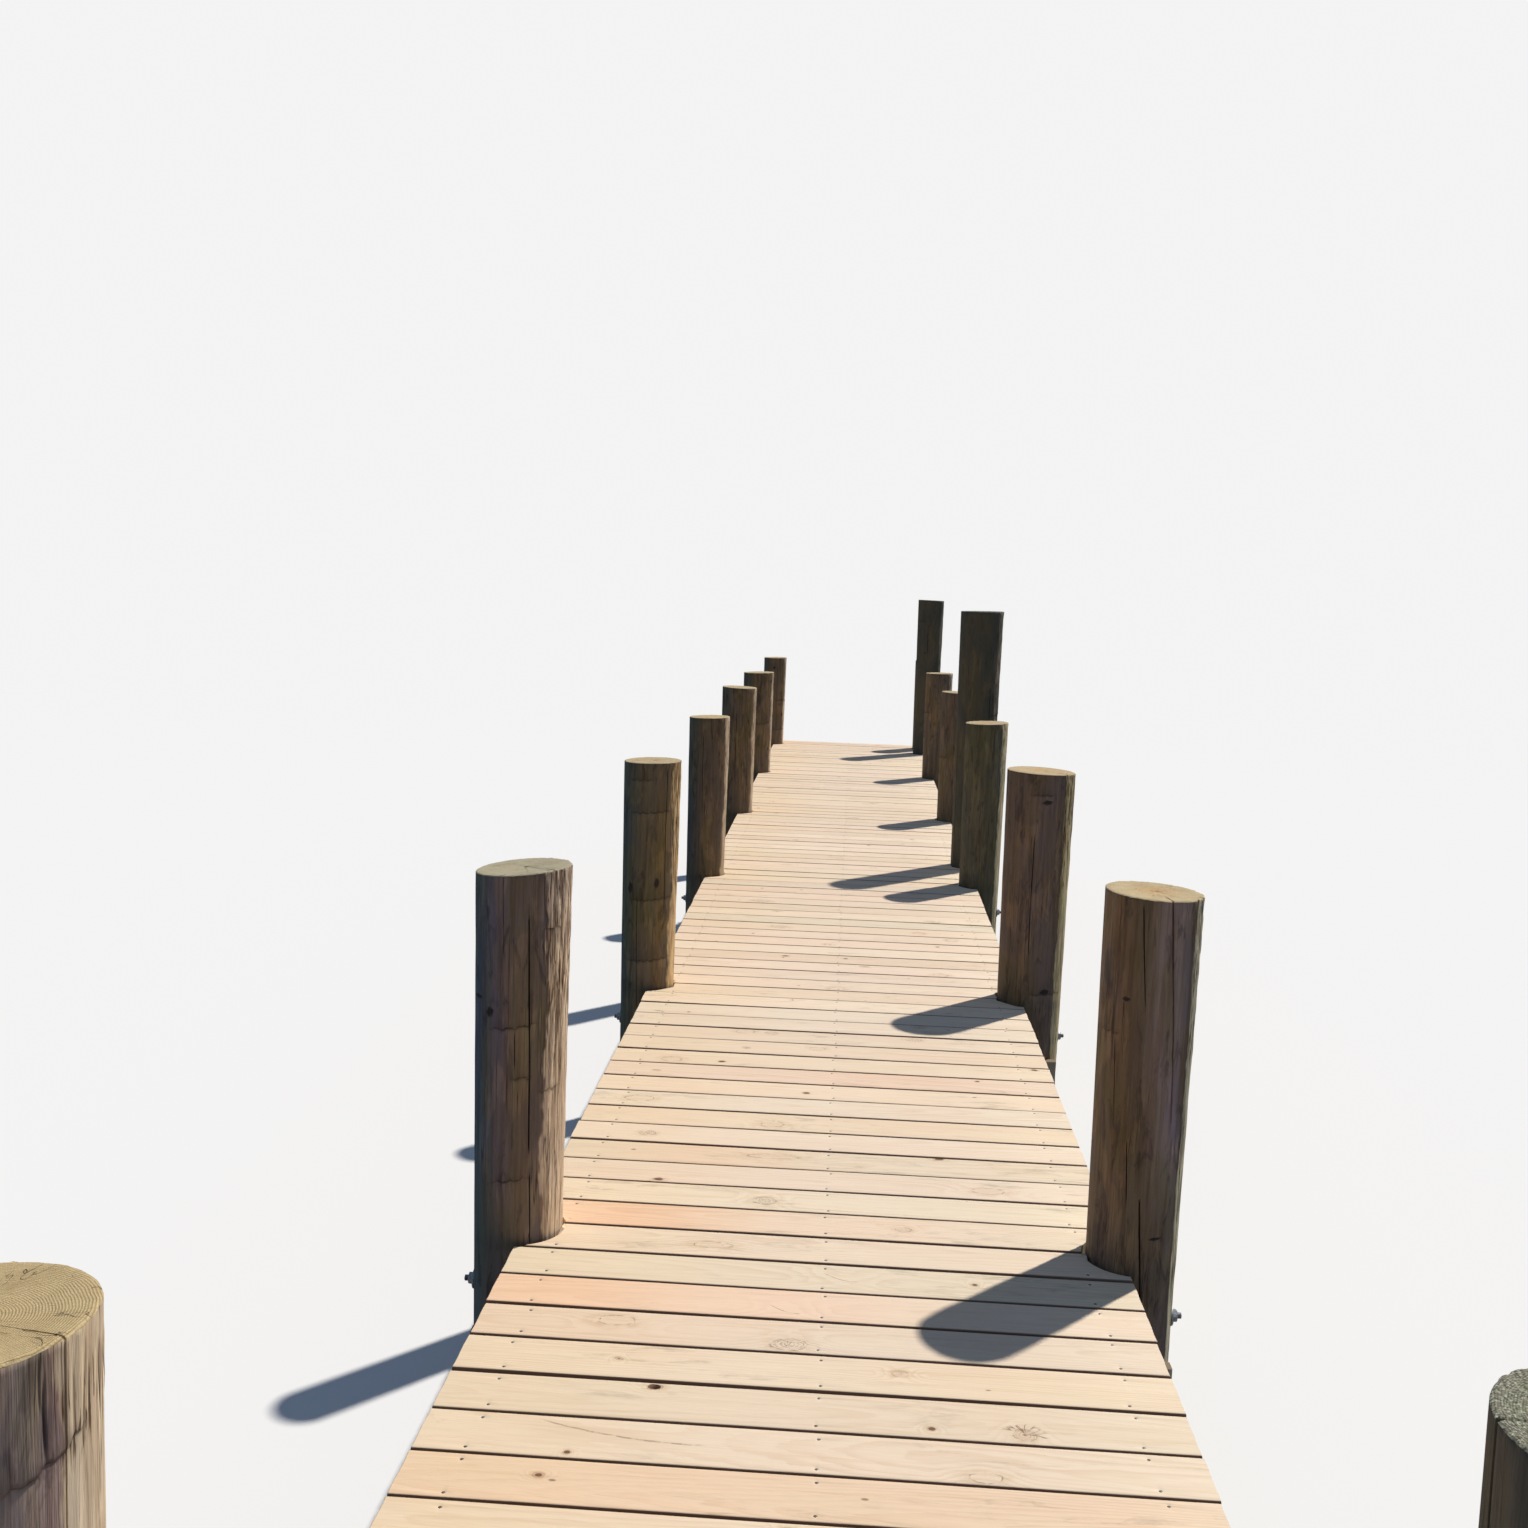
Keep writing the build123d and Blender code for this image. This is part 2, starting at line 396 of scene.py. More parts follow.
def wrapped(angle):
    """The same angle between half a turn back and half a turn on."""
    return (angle + pi) % (2 * pi) - pi


def thinned(places, least):
    """Sorted places, less those that lie too close to the one before."""
    kept = []
    for place in sorted(places):
        if not kept or place - kept[-1] >= least:
            kept.append(place)
    return np.array(kept)


def closer(places, middle, room, steps):
    """Places, where those round a middle give way to the steps from it."""
    kept = [place for place in places if abs(place - middle) > room]
    return kept + [middle + step for step in steps]


def grid_faces(rows, columns, closed=False):
    """Quads between the points of a grid, counted row by row."""
    index = np.arange(rows * columns).reshape(rows, columns)
    if closed:
        index = np.column_stack((index, index[:, 0]))
    corners = (index[:-1, :-1], index[:-1, 1:], index[1:, 1:], index[1:, :-1])
    return np.column_stack([corner.ravel() for corner in corners])


def fan_faces(centre, start, count):
    """Triangles from a centre to a closed ring of points."""
    ring = start + np.arange(count)
    return np.column_stack((ring, np.roll(ring, -1), np.full(count, centre)))


def lathe(profile, sides):
    """A closed turned form about Z from (radius, height) pairs, the top first."""
    angles = np.arange(sides) * 2 * pi / sides
    points = [(0, 0, profile[0][1])]
    for radius, height in profile:
        points += [(radius * cos(angle), radius * sin(angle), height) for angle in angles]
    points.append((0, 0, profile[-1][1]))
    last = len(points) - 1
    side_faces = grid_faces(len(profile), sides, closed=True)[:, (0, 3, 2, 1)] + 1
    bottom = fan_faces(last, last - sides, sides)[:, ::-1]
    return np.array(points), [*fan_faces(0, 1, sides), *side_faces, *bottom]


def knot_values(names, offsets):
    """The offset of each point from each knot, in sizes of it; missing knots lie far away."""
    missing = [np.full(3, far_away)] * len(names)
    return dict(zip(names, offsets + missing))


class Shape:
    """Points, faces and the values that the materials read, gathered for one piece."""

    def __init__(self):
        self.points = []
        self.faces = []
        self.materials = []
        self.values = {}
        self.count = 0

    def add(self, points, *face_lists, **values):
        """Adds points and the faces between them, one list of faces for each material; a
        value holds for each point or for all."""
        points = np.asarray(points, float)
        for material, faces in enumerate(face_lists):
            self.faces += [[int(corner) + self.count for corner in face] for face in faces]
            self.materials += [material] * len(faces)
        for name, value in values.items():
            filled = np.broadcast_to(np.asarray(value, float), points.shape)
            self.values.setdefault(name, []).append(filled)
        self.points.append(points)
        self.count += len(points)

    def make(self, name, materials, slot, replaced=(), sharp_angle=35):
        """Turns what was gathered into a piece that rides on the jetty."""
        mesh = bpy.data.meshes.new(name)
        mesh.from_pydata(np.vstack(self.points).tolist(), [], self.faces)
        for material in materials:
            mesh.materials.append(material)
        mesh.polygons.foreach_set("material_index", self.materials)
        for key, parts in self.values.items():
            layer = mesh.attributes.new(key, "FLOAT_VECTOR", "POINT")
            layer.data.foreach_set("vector", np.vstack(parts).astype(np.float32).ravel())
        mesh.shade_smooth()
        mesh.set_sharp_from_angle(angle=radians(sharp_angle))
        piece = bpy.data.objects.new(name, mesh)
        bpy.context.scene.collection.objects.link(piece)
        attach(piece, "root")
        if replaced:
            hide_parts(*replaced)


# The boards and the framing planks.


class Plank:
    """A sawn plank along X with its width along Y and its face up, on the origin."""

    def __init__(self, length, width, thickness, rng, ease=board_ease):
        self.half = length / 2
        self.width = width
        self.thickness = thickness
        self.rng = rng
        self.ease = ease
        self.nails = []
        self.holes = []
        self.notches = []
        self.knots = []
        self.tint = board_colours["cream"]
        self.washes_and_sheen = ()
        self.bow = rng.uniform(-1, 1, 4) * bow_limits
        self.end_slips = rng.uniform(*end_slip, 2)
        self.end_seeds = rng.uniform(0, 9, 2)
        self.near_edge = lambda x: x * 0 - width / 2
        self.far_edge = lambda x: x * 0 + width / 2

    def stations(self):
        """Places along the plank where the section is drawn."""
        inner = self.half - end_bevel
        places = list(np.linspace(-inner, inner, station_count))
        for nail in self.nails:
            places += [nail.x + step for step in nail_steps]
        for hole in self.holes:
            places += [hole.x + hole.half_length * step for step in hole_steps]
        places = [place for place in places if abs(place) <= inner]
        return np.concatenate(([-self.half], thinned(places, 0.0008), [self.half]))

    def lines(self):
        """Lines along the plank: share of the width, and drop of the eased edge there."""
        lip = self.ease / self.width
        shares = [0.3, 0.5, 0.7]
        for share in sorted({nail.share for nail in self.nails}):
            shares += [share + step / self.width for step in nail_steps]
        for hole in self.holes:
            shares += [hole.share + hole.half_width * step / self.width for step in hole_steps]
        for notch in self.notches:
            shares += list(np.linspace(0, 1, notch_lines))
            for corner in notch["corners"]:
                share = (corner + self.width / 2) / self.width
                shares += [share - line_room, share + line_room]
        inside = [share for share in shares if lip * 1.3 < share < 1 - lip * 1.3]
        edge_shares = np.array([0, 0.3 * lip, lip])
        edge_drops = (self.ease, self.ease * 0.3, 0)
        shares = np.concatenate((edge_shares, thinned(inside, line_room), 1 - edge_shares[::-1]))
        drops = np.zeros(len(shares))
        drops[:3] = edge_drops
        drops[-3:] = edge_drops[::-1]
        return shares, drops

    def ends(self, y):
        """Where the left and the right end lie at each place across the plank."""
        left = -self.half - self.end_slips[0] + saw_wave * np.sin(60 * y + self.end_seeds[0])
        right = self.half + self.end_slips[1] + saw_wave * np.sin(75 * y + self.end_seeds[1])
        for notch in self.notches:
            cut = notch["cut"](y - notch["y"])
            if notch["side"] < 0:
                left = np.maximum(left, -cut)
            else:
                right = np.minimum(right, cut)
        return left, right

    def nail_shift(self, x, share, axis):
        """How far the mesh is drawn aside there, so that its lines pass through the nails."""
        if not self.nails:
            return np.zeros_like(x)
        first, last = min(nail_shares), max(nail_shares)
        jitter = {(nail.x, nail.share): nail.jitter[axis] for nail in self.nails}
        across = np.clip((share - first) / (last - first), 0, 1)
        shifts = [
            (1 - across) * jitter[column, first] + across * jitter[column, last]
            for column in nail_columns
        ]
        fade = 1 if axis == 0 else min(1, min(share, 1 - share) / 0.08)
        return fade * np.interp(x, [-self.half, *nail_columns, self.half], [0, *shifts, 0])

    def face_height(self, x, y):
        """Bow, twist and cup of the face."""
        along = x / self.half
        across = y / (self.width / 2)
        return self.bow[0] + self.bow[1] * along + self.bow[2] * along ** 2 - self.bow[3] * across ** 2

    def place_on_face(self, nail):
        """The point of the face where a nail stands."""
        near, far = self.near_edge(nail.x), self.far_edge(nail.x)
        return nail.x + nail.jitter[0], near + nail.share * (far - near) + nail.jitter[1]

    def points(self):
        """Grid of points of the face and of the underside."""
        stations = self.stations()
        shares, drops = self.lines()
        near, far = self.near_edge(stations), self.far_edge(stations)
        x = np.repeat(stations[:, None], len(shares), axis=1)
        y = np.empty_like(x)
        for line, share in enumerate(shares):
            y[:, line] = near + share * (far - near) + self.nail_shift(stations, share, 1)
            x[:, line] += self.nail_shift(stations, share, 0)
        hold = self.half - end_reach
        left, right = self.ends(y)
        x = np.where(x < -hold, -hold + (x + hold) * (left + hold) / (hold - self.half), x)
        x = np.where(x > hold, hold + (x - hold) * (right - hold) / (self.half - hold), x)
        top = self.face_height(x, y)
        for nail in self.nails:
            nail_x, nail_y = self.place_on_face(nail)
            reach = np.hypot(x - nail_x, y - nail_y)
            top = top - nail_depth * (1 - smooth_step(reach, nail_steps[3] * 0.9, nail_steps[4] * 1.1))
        for hole in self.holes:
            hole_y = (hole.share - 0.5) * self.width
            reach = np.hypot((x - hole.x) / hole.half_length, (y - hole_y) / hole.half_width)
            top = top - hole.depth * (1 - smooth_step(reach, 0.35, 1.0))
        bottom = self.face_height(x, y) - self.thickness + drops
        top = top - drops
        for end in (0, -1):
            top[end] -= end_bevel
            bottom[end] += end_bevel
        return x, y, top, bottom

    def add_to(self, shape, place):
        """Adds the plank to a shape, moved to its place."""
        x, y, top, bottom = self.points()
        rows, columns = x.shape
        around = 2 * columns
        upper = np.stack((x, y, top), axis=2)
        lower = np.stack((x, y, bottom), axis=2)[:, ::-1]
        points = np.concatenate((upper, lower), axis=1).reshape(-1, 3)
        line = np.arange(columns - 1)
        mirror = around - 1 - line
        end = np.column_stack((line, line + 1, mirror - 1, mirror))
        sides = grid_faces(rows, around, closed=True)[:, ::-1]
        faces = [*sides, *end, *(end[:, ::-1] + (rows - 1) * around)]
        # Painted shade: none on the face, some on the sides and underside, more on the eased edges.
        wear = np.full((rows, around), side_shade)
        wear[:, :columns] = 0
        wear[:, (1, columns - 2)] = lip_shade
        wear[:, (0, columns - 1, columns, -1)] = 1
        values = self.grain_values(points)
        values["wear"] = wear.ravel()[:, None] * (1, 0, 0)
        turned = points @ np.array(place.to_3x3()).T + np.array(place.translation)
        shape.add(turned, faces, **values)

    def grain_values(self, points):
        """Where each point lay in the log, its distance from the knots, and the board's tint."""
        rng = self.rng
        pith = np.array((rng.uniform(0, 40), rng.uniform(-0.05, 0.05), rng.uniform(-0.10, -0.02)))
        lean = rng.uniform(-1, 1, 2) * (0.030, 0.045)
        growth = rng.uniform(0.75, 1.35)
        log = points + pith * (1, -1, -1)
        log[:, 1:] += points[:, :1] * lean
        log[:, 1:] *= growth
        tint = np.ones((len(points), 1)) * self.tint
        # Washes of colour, and the painted sheen of sunlight at the right end.
        for middle, reach, factors in self.washes_and_sheen:
            share = np.exp(-((points[:, 0] - middle) / reach) ** 2)
            tint = tint * (1 + share[:, None] * (np.array(factors) - 1))
        offsets = []
        for knot in self.knots:
            offset = (points - (knot.x, knot.y, 0)) / (knot.half_length, knot.half_width, 1)
            offsets.append(offset * (1, 1, 0))
        darkness = [knot.dark for knot in self.knots] + [0.0] * most_knots
        return {
            "grain": log,
            "tint": tint,
            "knot_dark": darkness[:most_knots],
            **knot_values(knot_names, offsets),
        }


def random_knots(rng, plank, most):
    """Knots scattered over a plank."""
    knots = []
    for number in range(rng.integers(0, most + 1)):
        shade = rng.choice(random_shades)
        size = rng.uniform(0.004, 0.011) if shade > 0.5 else rng.uniform(0.010, 0.026)
        x = rng.uniform(-0.95, 0.95) * plank.half
        y = rng.uniform(-0.42, 0.42) * plank.width
        knots.append(Knot(x, y, size * rng.uniform(1.0, 2.0), size, shade))
    return knots


def mixed_tint(rng, kind=None):
    """The base colour of a board, a little different each time."""
    kind = kind or rng.choice(tuple(board_colours), p=colour_shares)
    return np.array(board_colours[kind]) * rng.uniform(*tone_range) * rng.uniform(*hue_range, 3)


class Pile:
    """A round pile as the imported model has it."""

    def __init__(self, name):
        low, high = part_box(name)
        self.name = name
        self.number = int(name.split("_")[-1])
        self.tall = "tall" in name
        self.x = (low.x + high.x) / 2
        self.y = (low.y + high.y) / 2
        self.top = high.z
        self.rise = high.z - deck_top
        self.side = 1 if self.x > 0 else -1
        self.top_radius = (high.x - low.x + high.y - low.y) / 4
        self.deck_radius = self.radius_at(deck_top)
        self.seat = abs(self.x) - stringer_high.x
        corners = np.array([v.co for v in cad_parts[name].data.vertices])
        rim = corners[corners[:, 2] > self.top - top_ring_depth] - (self.x, self.y, self.top)
        columns = np.column_stack((rim[:, 0], rim[:, 1], np.ones(len(rim))))
        self.climb, self.climb_away, self.top_drop = np.linalg.lstsq(columns, rim[:, 2], rcond=None)[0]

    def radius_at(self, height):
        return self.top_radius + pile_taper / 2 * (height - self.top)


piles = {name: Pile(name) for name in sorted(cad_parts) if "pile_" in name}


def notch_for(pile, board_middle):
    """How a pile's notch cuts a board: the place of its edge at each distance along Y."""
    reach = pile.deck_radius + notch_clearance
    centre = abs(pile.x)
    sawn = pile.number % 2 == 1 and not pile.tall

    def cut(past):
        past = np.abs(past)
        if sawn:
            depth = np.minimum(reach, reach * 2 ** 0.5 - past)
        else:
            depth = np.sqrt(np.maximum(reach ** 2 - past ** 2, 0))
        return np.where(past < reach, centre - depth, far_away)

    mouth = (reach ** 2 - (centre - deck_half) ** 2) ** 0.5
    marks = (reach * tan(pi / 8), reach) if sawn else (mouth, mouth * 0.985)
    y = pile.y - board_middle
    corners = [y + way * mark for way in (-1, 1) for mark in marks]
    return {"side": pile.side, "cut": cut, "y": y, "corners": corners}


def gap_line(number):
    """The edges of the gap before a board, as a function of x and of the way from its middle."""
    rng = random_from(gap_seed, number)
    middle = rng.uniform(-gap_wander, gap_wander)
    kind = near_boards.get(number, other_boards)[0] or rng.choice(tuple(gap_widths), p=gap_shares)
    width = rng.uniform(*gap_widths[kind])
    taper = rng.uniform(-gap_taper, gap_taper)
    seeds = rng.uniform(0, 6, 2)

    def edge(x, way):
        wave = 0.0003 * np.sin(7 * x + seeds[0]) + 0.0002 * np.sin(19 * x + way * seeds[1])
        return middle + way * (width / 2 + taper * x / 2) + wave

    return edge


def deck_board(number):
    """One board of the walkway with its gaps, notches, nails and knots."""
    rng = random_from(board_seed, number)
    plank = Plank(2 * deck_half, board_pitch - board_gap, board_thickness, rng)
    middle = deck_start + (number + 0.5) * board_pitch
    before, after = gap_line(number), gap_line(number + 1)
    plank.near_edge = lambda x: -board_pitch / 2 + before(x, 1)
    plank.far_edge = lambda x: board_pitch / 2 + after(x, -1)
    for pile in piles.values():
        if abs(pile.y - middle) < pile.deck_radius + notch_clearance + board_pitch:
            plank.notches.append(notch_for(pile, middle))
    for column in nail_columns:
        for share in nail_shares:
            plank.nails.append(Nail(column, share, rng.uniform(-1, 1, 2) * nail_scatter))
    plank.tint = mixed_tint(rng, near_boards.get(number, other_boards)[1])
    plank.washes_and_sheen = usual_washes_and_sheen + board_washes.get(number, ())
    for x, share, *looks in board_knots.get(number, ()):
        plank.knots.append(Knot(x, (share - 0.5) * plank.width, *looks))
    if not plank.knots:
        plank.knots = random_knots(rng, plank, most_knots)
    if number in board_holes:
        plank.holes.append(board_holes[number])
    return plank, middle


def build_deck(finishes):
    """The boards of each bay as one piece, and their nails as another."""
    nail_head = lathe(nail_profile, nail_sides)
    for bay in range(1, bay_count + 1):
        low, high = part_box(f"deck_bay_{bay}")
        first = round((low.y - board_gap / 2 - deck_start) / board_pitch)
        last = round((high.y + board_gap / 2 - deck_start) / board_pitch)
        boards, nails = Shape(), Shape()
        for number in range(first, last):
            plank, middle = deck_board(number)
            plank.add_to(boards, Matrix.Translation((0, middle, deck_top)))
            for nail in plank.nails:
                x, y = plank.place_on_face(nail)
                left, right = plank.ends(np.array(y))
                if x - left >= nail_end_room and right - x >= nail_end_room:
                    height = deck_top + plank.face_height(x, y) - nail_depth + nail_rise
                    nails.add(nail_head[0] + (x, middle + y, height), nail_head[1])
        boards.make(f"deck_boards_{bay}", [finishes["deck_wood"]], "deck_wood", [f"deck_bay_{bay}"])
        nails.make(f"deck_nails_{bay}", [finishes["nail_steel"]], "galvanised_steel")


def framing_plank(size, rng, most):
    """A plank of the frame: flat, of one colour, with a few knots."""
    plank = Plank(*size, rng, framing_ease)
    plank.bow = plank.bow * 0
    plank.tint = mixed_tint(rng, "straw")
    plank.knots = random_knots(rng, plank, most)
    return plank


def build_stringers(finishes):
    """The planks on edge under the boards."""
    for name in sorted(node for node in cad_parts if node.startswith("stringer_")):
        line, number = name.split("_")[1:]
        low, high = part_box(name)
        size = (high.y - low.y, high.z - low.z, high.x - low.x)
        plank = framing_plank(size, random_from(stringer_seed, int(number), len(line)), 3)
        plank.end_slips = plank.end_slips * 0
        turn = Matrix(((0, 0, 1), (1, 0, 0), (0, 1, 0))).to_4x4()
        centre = (low + high) / 2
        centre.x += plank.thickness / 2
        shape = Shape()
        plank.add_to(shape, Matrix.Translation(centre) @ turn)
        shape.make(f"{name}_plank", [finishes["frame_wood"]], "frame_wood", [name])


class Bent:
    """A pair of piles with its cap planks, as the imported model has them."""

    def __init__(self, number):
        self.number = number
        self.left = piles[f"pile_left_{number}"]
        self.right = piles[f"pile_right_{number}"]
        self.along = Vector((self.right.x - self.left.x, self.right.y - self.left.y, 0)).normalized()
        self.across = Vector((-self.along.y, self.along.x, 0))
        self.origin = Vector((self.left.x, self.left.y, 0))
        corners = np.array([v.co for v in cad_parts[f"cap_{number}"].data.vertices])
        past = (corners - np.array(self.origin)) @ np.array(self.along)
        aside = (corners - np.array(self.origin)) @ np.array(self.across)
        self.start, self.end = past.min(), past.max()
        self.outer = aside.max()
        self.inner = aside[aside > 0].min()
        self.low, self.high = corners[:, 2].min(), corners[:, 2].max()


def build_caps(finishes, bents):
    """The planks that clasp each pair of piles."""
    for bent in bents:
        shape = Shape()
        size = (bent.end - bent.start, bent.high - bent.low, bent.outer - bent.inner)
        turn = Matrix((bent.along, (0, 0, 1), -bent.across)).transposed().to_4x4()
        for way, face in ((-1, -bent.outer), (1, bent.inner)):
            plank = framing_plank(size, random_from(cap_seed, bent.number, way + 2), 2)
            centre = bent.origin + bent.along * (bent.start + bent.end) / 2 + bent.across * face
            centre.z = (bent.low + bent.high) / 2
            plank.add_to(shape, Matrix.Translation(centre) @ turn)
        materials = [finishes["frame_wood"]]
        shape.make(f"cap_planks_{bent.number}", materials, "frame_wood", [f"cap_{bent.number}"])


# The round piles.


class PileSurface:
    """The detailed surface of one pile: checks, ledges, flats and the sawn top."""

    def __init__(self, pile, bent, index):
        self.pile = pile
        self.bent = bent
        self.rng = random_from(pile_seed, index)
        self.close = pile.name in close_piles
        self.look = {**usual_look, "bleached_and_lit": usual_bleached_and_lit[pile.side], **pile_looks.get(pile.name, {})}
        self.checks = [Check(*check) for check in self.look["checks"] or self.random_checks()]
        self.ledges = [Ledge(*ledge) for ledge in self.look["ledges"] or self.random_ledges()]
        self.knots = self.look["knots"] or self.random_pile_knots()
        self.pith = self.rng.uniform(-0.018, 0.018, 2)
        self.seeds = self.rng.uniform(0, 6, 3)

    def random_checks(self):
        found = []
        for number in range(self.rng.integers(2, 5)):
            high = self.rng.uniform(0.5, 1.05) * self.pile.rise
            low = high - self.rng.uniform(0.3, 0.8)
            found.append((self.rng.uniform(-180, 180), high, low, self.rng.uniform(0.002, 0.0045), 0.014))
        return found

    def random_ledges(self):
        count = self.rng.integers(1, 5)
        heights = thinned(self.rng.uniform(0.08, self.pile.rise - 0.08, count), 0.08)[::-1]
        bearings = self.rng.uniform(-180, 180, len(heights))
        return [(height, 0.010, bearing, 40) for height, bearing in zip(heights, bearings)]

    def random_pile_knots(self):
        found = []
        for number in range(2):
            size = self.rng.uniform(0.008, 0.016)
            bearing, level = self.rng.uniform(-180, 180), self.rng.uniform(0.1, self.pile.rise)
            found.append((bearing, level, size, size * 1.4))
        return found

    def columns(self):
        """Bearings of the lines down the pile, closer together at each check."""
        places = np.linspace(-pi, pi, close_columns if self.close else far_columns, endpoint=False)
        extra = []
        if self.close:
            start = radians(sun_side_bearing - self.look["bleached_and_lit"][0]) - fine_lead
            places = places[(places < start) | (places > start + fine_spread)]
            extra = list(np.arange(start, start + fine_spread, fine_step / self.pile.deck_radius))
        for check in self.checks:
            centre = wrapped(radians(check.bearing))
            half = check.width / 2 / self.pile.deck_radius
            places = places[np.abs(wrapped(places - centre)) > half * 1.6]
            extra += [centre + half * step for step in check_steps]
        return thinned(np.concatenate((places, extra)), least_step)

    def rows(self):
        """Heights of the rings of points."""
        above, below = close_rings if self.close else far_rings
        top = self.pile.top - top_bevel
        change = deck_top - 0.1
        places = [*np.arange(0, change, below), *np.arange(change, top - above / 2, above)]
        for ledge in self.ledges:
            places = closer(places, deck_top + ledge.height, ledge_room, ledge_steps)
        for edge in self.dap_edges():
            places = closer(places, edge, dap_step_room, dap_steps)
        return thinned([*places, top], least_step)

    def dap_edges(self):
        edges = [stringer_low.z - dap_room, stringer_high.z + dap_room]
        if self.bent:
            edges += [self.bent.low - dap_room, self.bent.high + dap_room]
        return edges

    def ledge_tilt(self, rows, columns):
        """How far each ring is tilted, so that rings run along the ledges."""
        ledges = self.ledges[::-1]
        heights = [deck_top + 0.03, *(deck_top + ledge.height for ledge in ledges), self.pile.top]
        waves = [columns * 0]
        for ledge in ledges:
            turned = columns - radians(ledge.bearing)
            wave = ledge.tilt * (np.sin(turned) - 0.4 * np.cos(2 * turned))
            wave = wave + 0.0024 * np.sin(23 * columns + 50 * ledge.height)
            waves.append(wave + 0.0014 * np.sin(47 * columns + 90 * ledge.height))
        waves.append(columns * 0)
        return np.column_stack([np.interp(rows, heights, wave) for wave in zip(*waves)])

    def surface(self):
        """Points of the side, ring by ring from the foot, with the painted shade, stain, tearing and glow of
        each.
        """
        pile = self.pile
        columns, rows = self.columns(), self.rows()
        angle, height = np.meshgrid(columns, rows)
        level = height - deck_top
        turn = radians(self.look["grain_turn"])
        turned = angle + 0.020 * drift(rows, 1.6, self.rng)[:, None] + turn * (grain_turn_level - level)
        radius = pile.radius_at(height) - self.peel(turned, height)
        torn = self.torn_fibres(turned, height, level)
        radius = radius + torn * sliver_lift * self.look["torn"]
        radius, dark = self.cut_checks(radius, angle, level, rows)
        radius, dark, glow = self.raise_ledges(radius, dark, turned, level)
        tilted = height + self.ledge_tilt(rows, columns)
        x, y = radius * np.sin(turned), -radius * np.cos(turned)
        rise = self.top_height(x, y) - pile.top
        tilted = tilted + rise * smooth_step(tilted, pile.top - 0.16, pile.top - top_bevel)
        x, y = self.seat_in_daps(x, y, height)
        wear = np.stack((dark, self.deck_stain(level), torn), axis=2)
        return x, y, tilted, wear, glow

    def cut_checks(self, radius, angle, level, rows):
        """Sinks the drying checks, and gives the painted shade inside them."""
        dark = np.zeros_like(radius)
        for check in self.checks:
            gap = np.abs(wrapped(angle - radians(check.bearing))) * self.pile.deck_radius
            window = smooth_step(level, check.low, check.low + 0.06)
            if check.high <= self.pile.rise:
                window = window * (1 - smooth_step(level, check.high - 0.02, check.high))
            breaks = 0.65 + 0.35 * drift(rows, 0.35, self.rng)[:, None]
            groove = np.clip(1 - gap / (check.width / 2), 0, 1) ** 0.6 * window * breaks
            radius = radius - check.depth * groove
            dark = np.maximum(dark, np.clip(groove * 1.6, 0, 1))
        return radius, dark

    def raise_ledges(self, radius, dark, turned, level):
        """Cuts in under each ledge and swells over it, with a line of painted shade under the swell and a
        change of tone.
        """
        glow = np.ones_like(radius)
        for ledge in self.ledges:
            gap = np.abs(wrapped(turned - radians(ledge.bearing)))
            inner, outer = radians(ledge.half_width * 0.55), radians(ledge.half_width)
            waves = np.sin(17 * turned + 40 * ledge.height) * np.sin(31 * turned + 9 * ledge.height)
            facing = (1 - smooth_step(gap, inner, outer * 1.1)) * (0.78 + 0.22 * waves)
            past = level - ledge.height
            swell = np.where(past > 0, np.exp(-past / 0.05), np.exp(past / 0.02) * 0.2)
            radius = radius - ledge_cut * facing * np.exp(-np.abs(past) / 0.0016)
            radius = radius + ledge_swell * facing * swell
            dark = np.maximum(dark, 1.05 * facing * np.exp(-np.abs(past) / 0.0030))
            over = np.where(past > 0, -0.20 * np.exp(-past / 0.060), 0.20 * np.exp(past / 0.035))
            glow = glow * (1 + over * (1 - smooth_step(gap, inner, outer)))
        return radius, dark, glow

    def peel(self, angle, height):
        """Hollows between the long flats that peeling leaves."""
        rng = self.rng
        depth = 0
        for flats, amount in peel_flats:
            turn = rng.uniform(0, 2 * pi) + 0.35 * drift(height, 0.9, rng)
            strength = 0.6 + 0.4 * drift(height + 0.13 * np.sin(angle * 2), 0.6, rng)
            depth = depth + amount * strength * np.abs(np.sin(flats * angle / 2 + turn))
        oval = 0.0022 * np.sin(2 * angle + rng.uniform(0, 6))
        lobes = 0.0012 * np.sin(3 * angle + rng.uniform(0, 6))
        return depth * 0.8 - (oval + lobes) - 0.0006

    def torn_fibres(self, angle, height, level):
        """Rough slivers of lifted fibres, on the sun side and in patches."""
        rng = self.rng
        count = round(2 * pi * self.pile.deck_radius / sliver_width)
        table = rng.normal(size=(int(self.pile.top / sliver_step) + 4, count))
        for passes in range(sliver_smoothing):
            table[1:-1] = (table[:-2] + table[1:-1] * 2 + table[2:]) / 4
        table /= table.std()
        row, column = height / sliver_step, angle % (2 * pi) / (2 * pi) * count
        low_row, low_column = row.astype(int), column.astype(int)
        row, column = row - low_row, smooth_step(column - low_column, 0, 1)
        slivers = 0
        for place, share in ((low_column, 1 - column), (low_column + 1, column)):
            beside = table[low_row, place % count] * (1 - row) + table[low_row + 1, place % count] * row
            slivers = slivers + beside * share
        patches = np.sin(2 * angle + 3 * level + rng.uniform(0, 6))
        patches = patches + np.sin(3 * angle - 5 * level + rng.uniform(0, 6))
        amount = smooth_step(patches, 0.6, 1.8) * 0.25 + self.bleach_and_sunlight(angle, level) * self.tears(level)
        return slivers * np.clip(amount, 0, 1) * 0.7

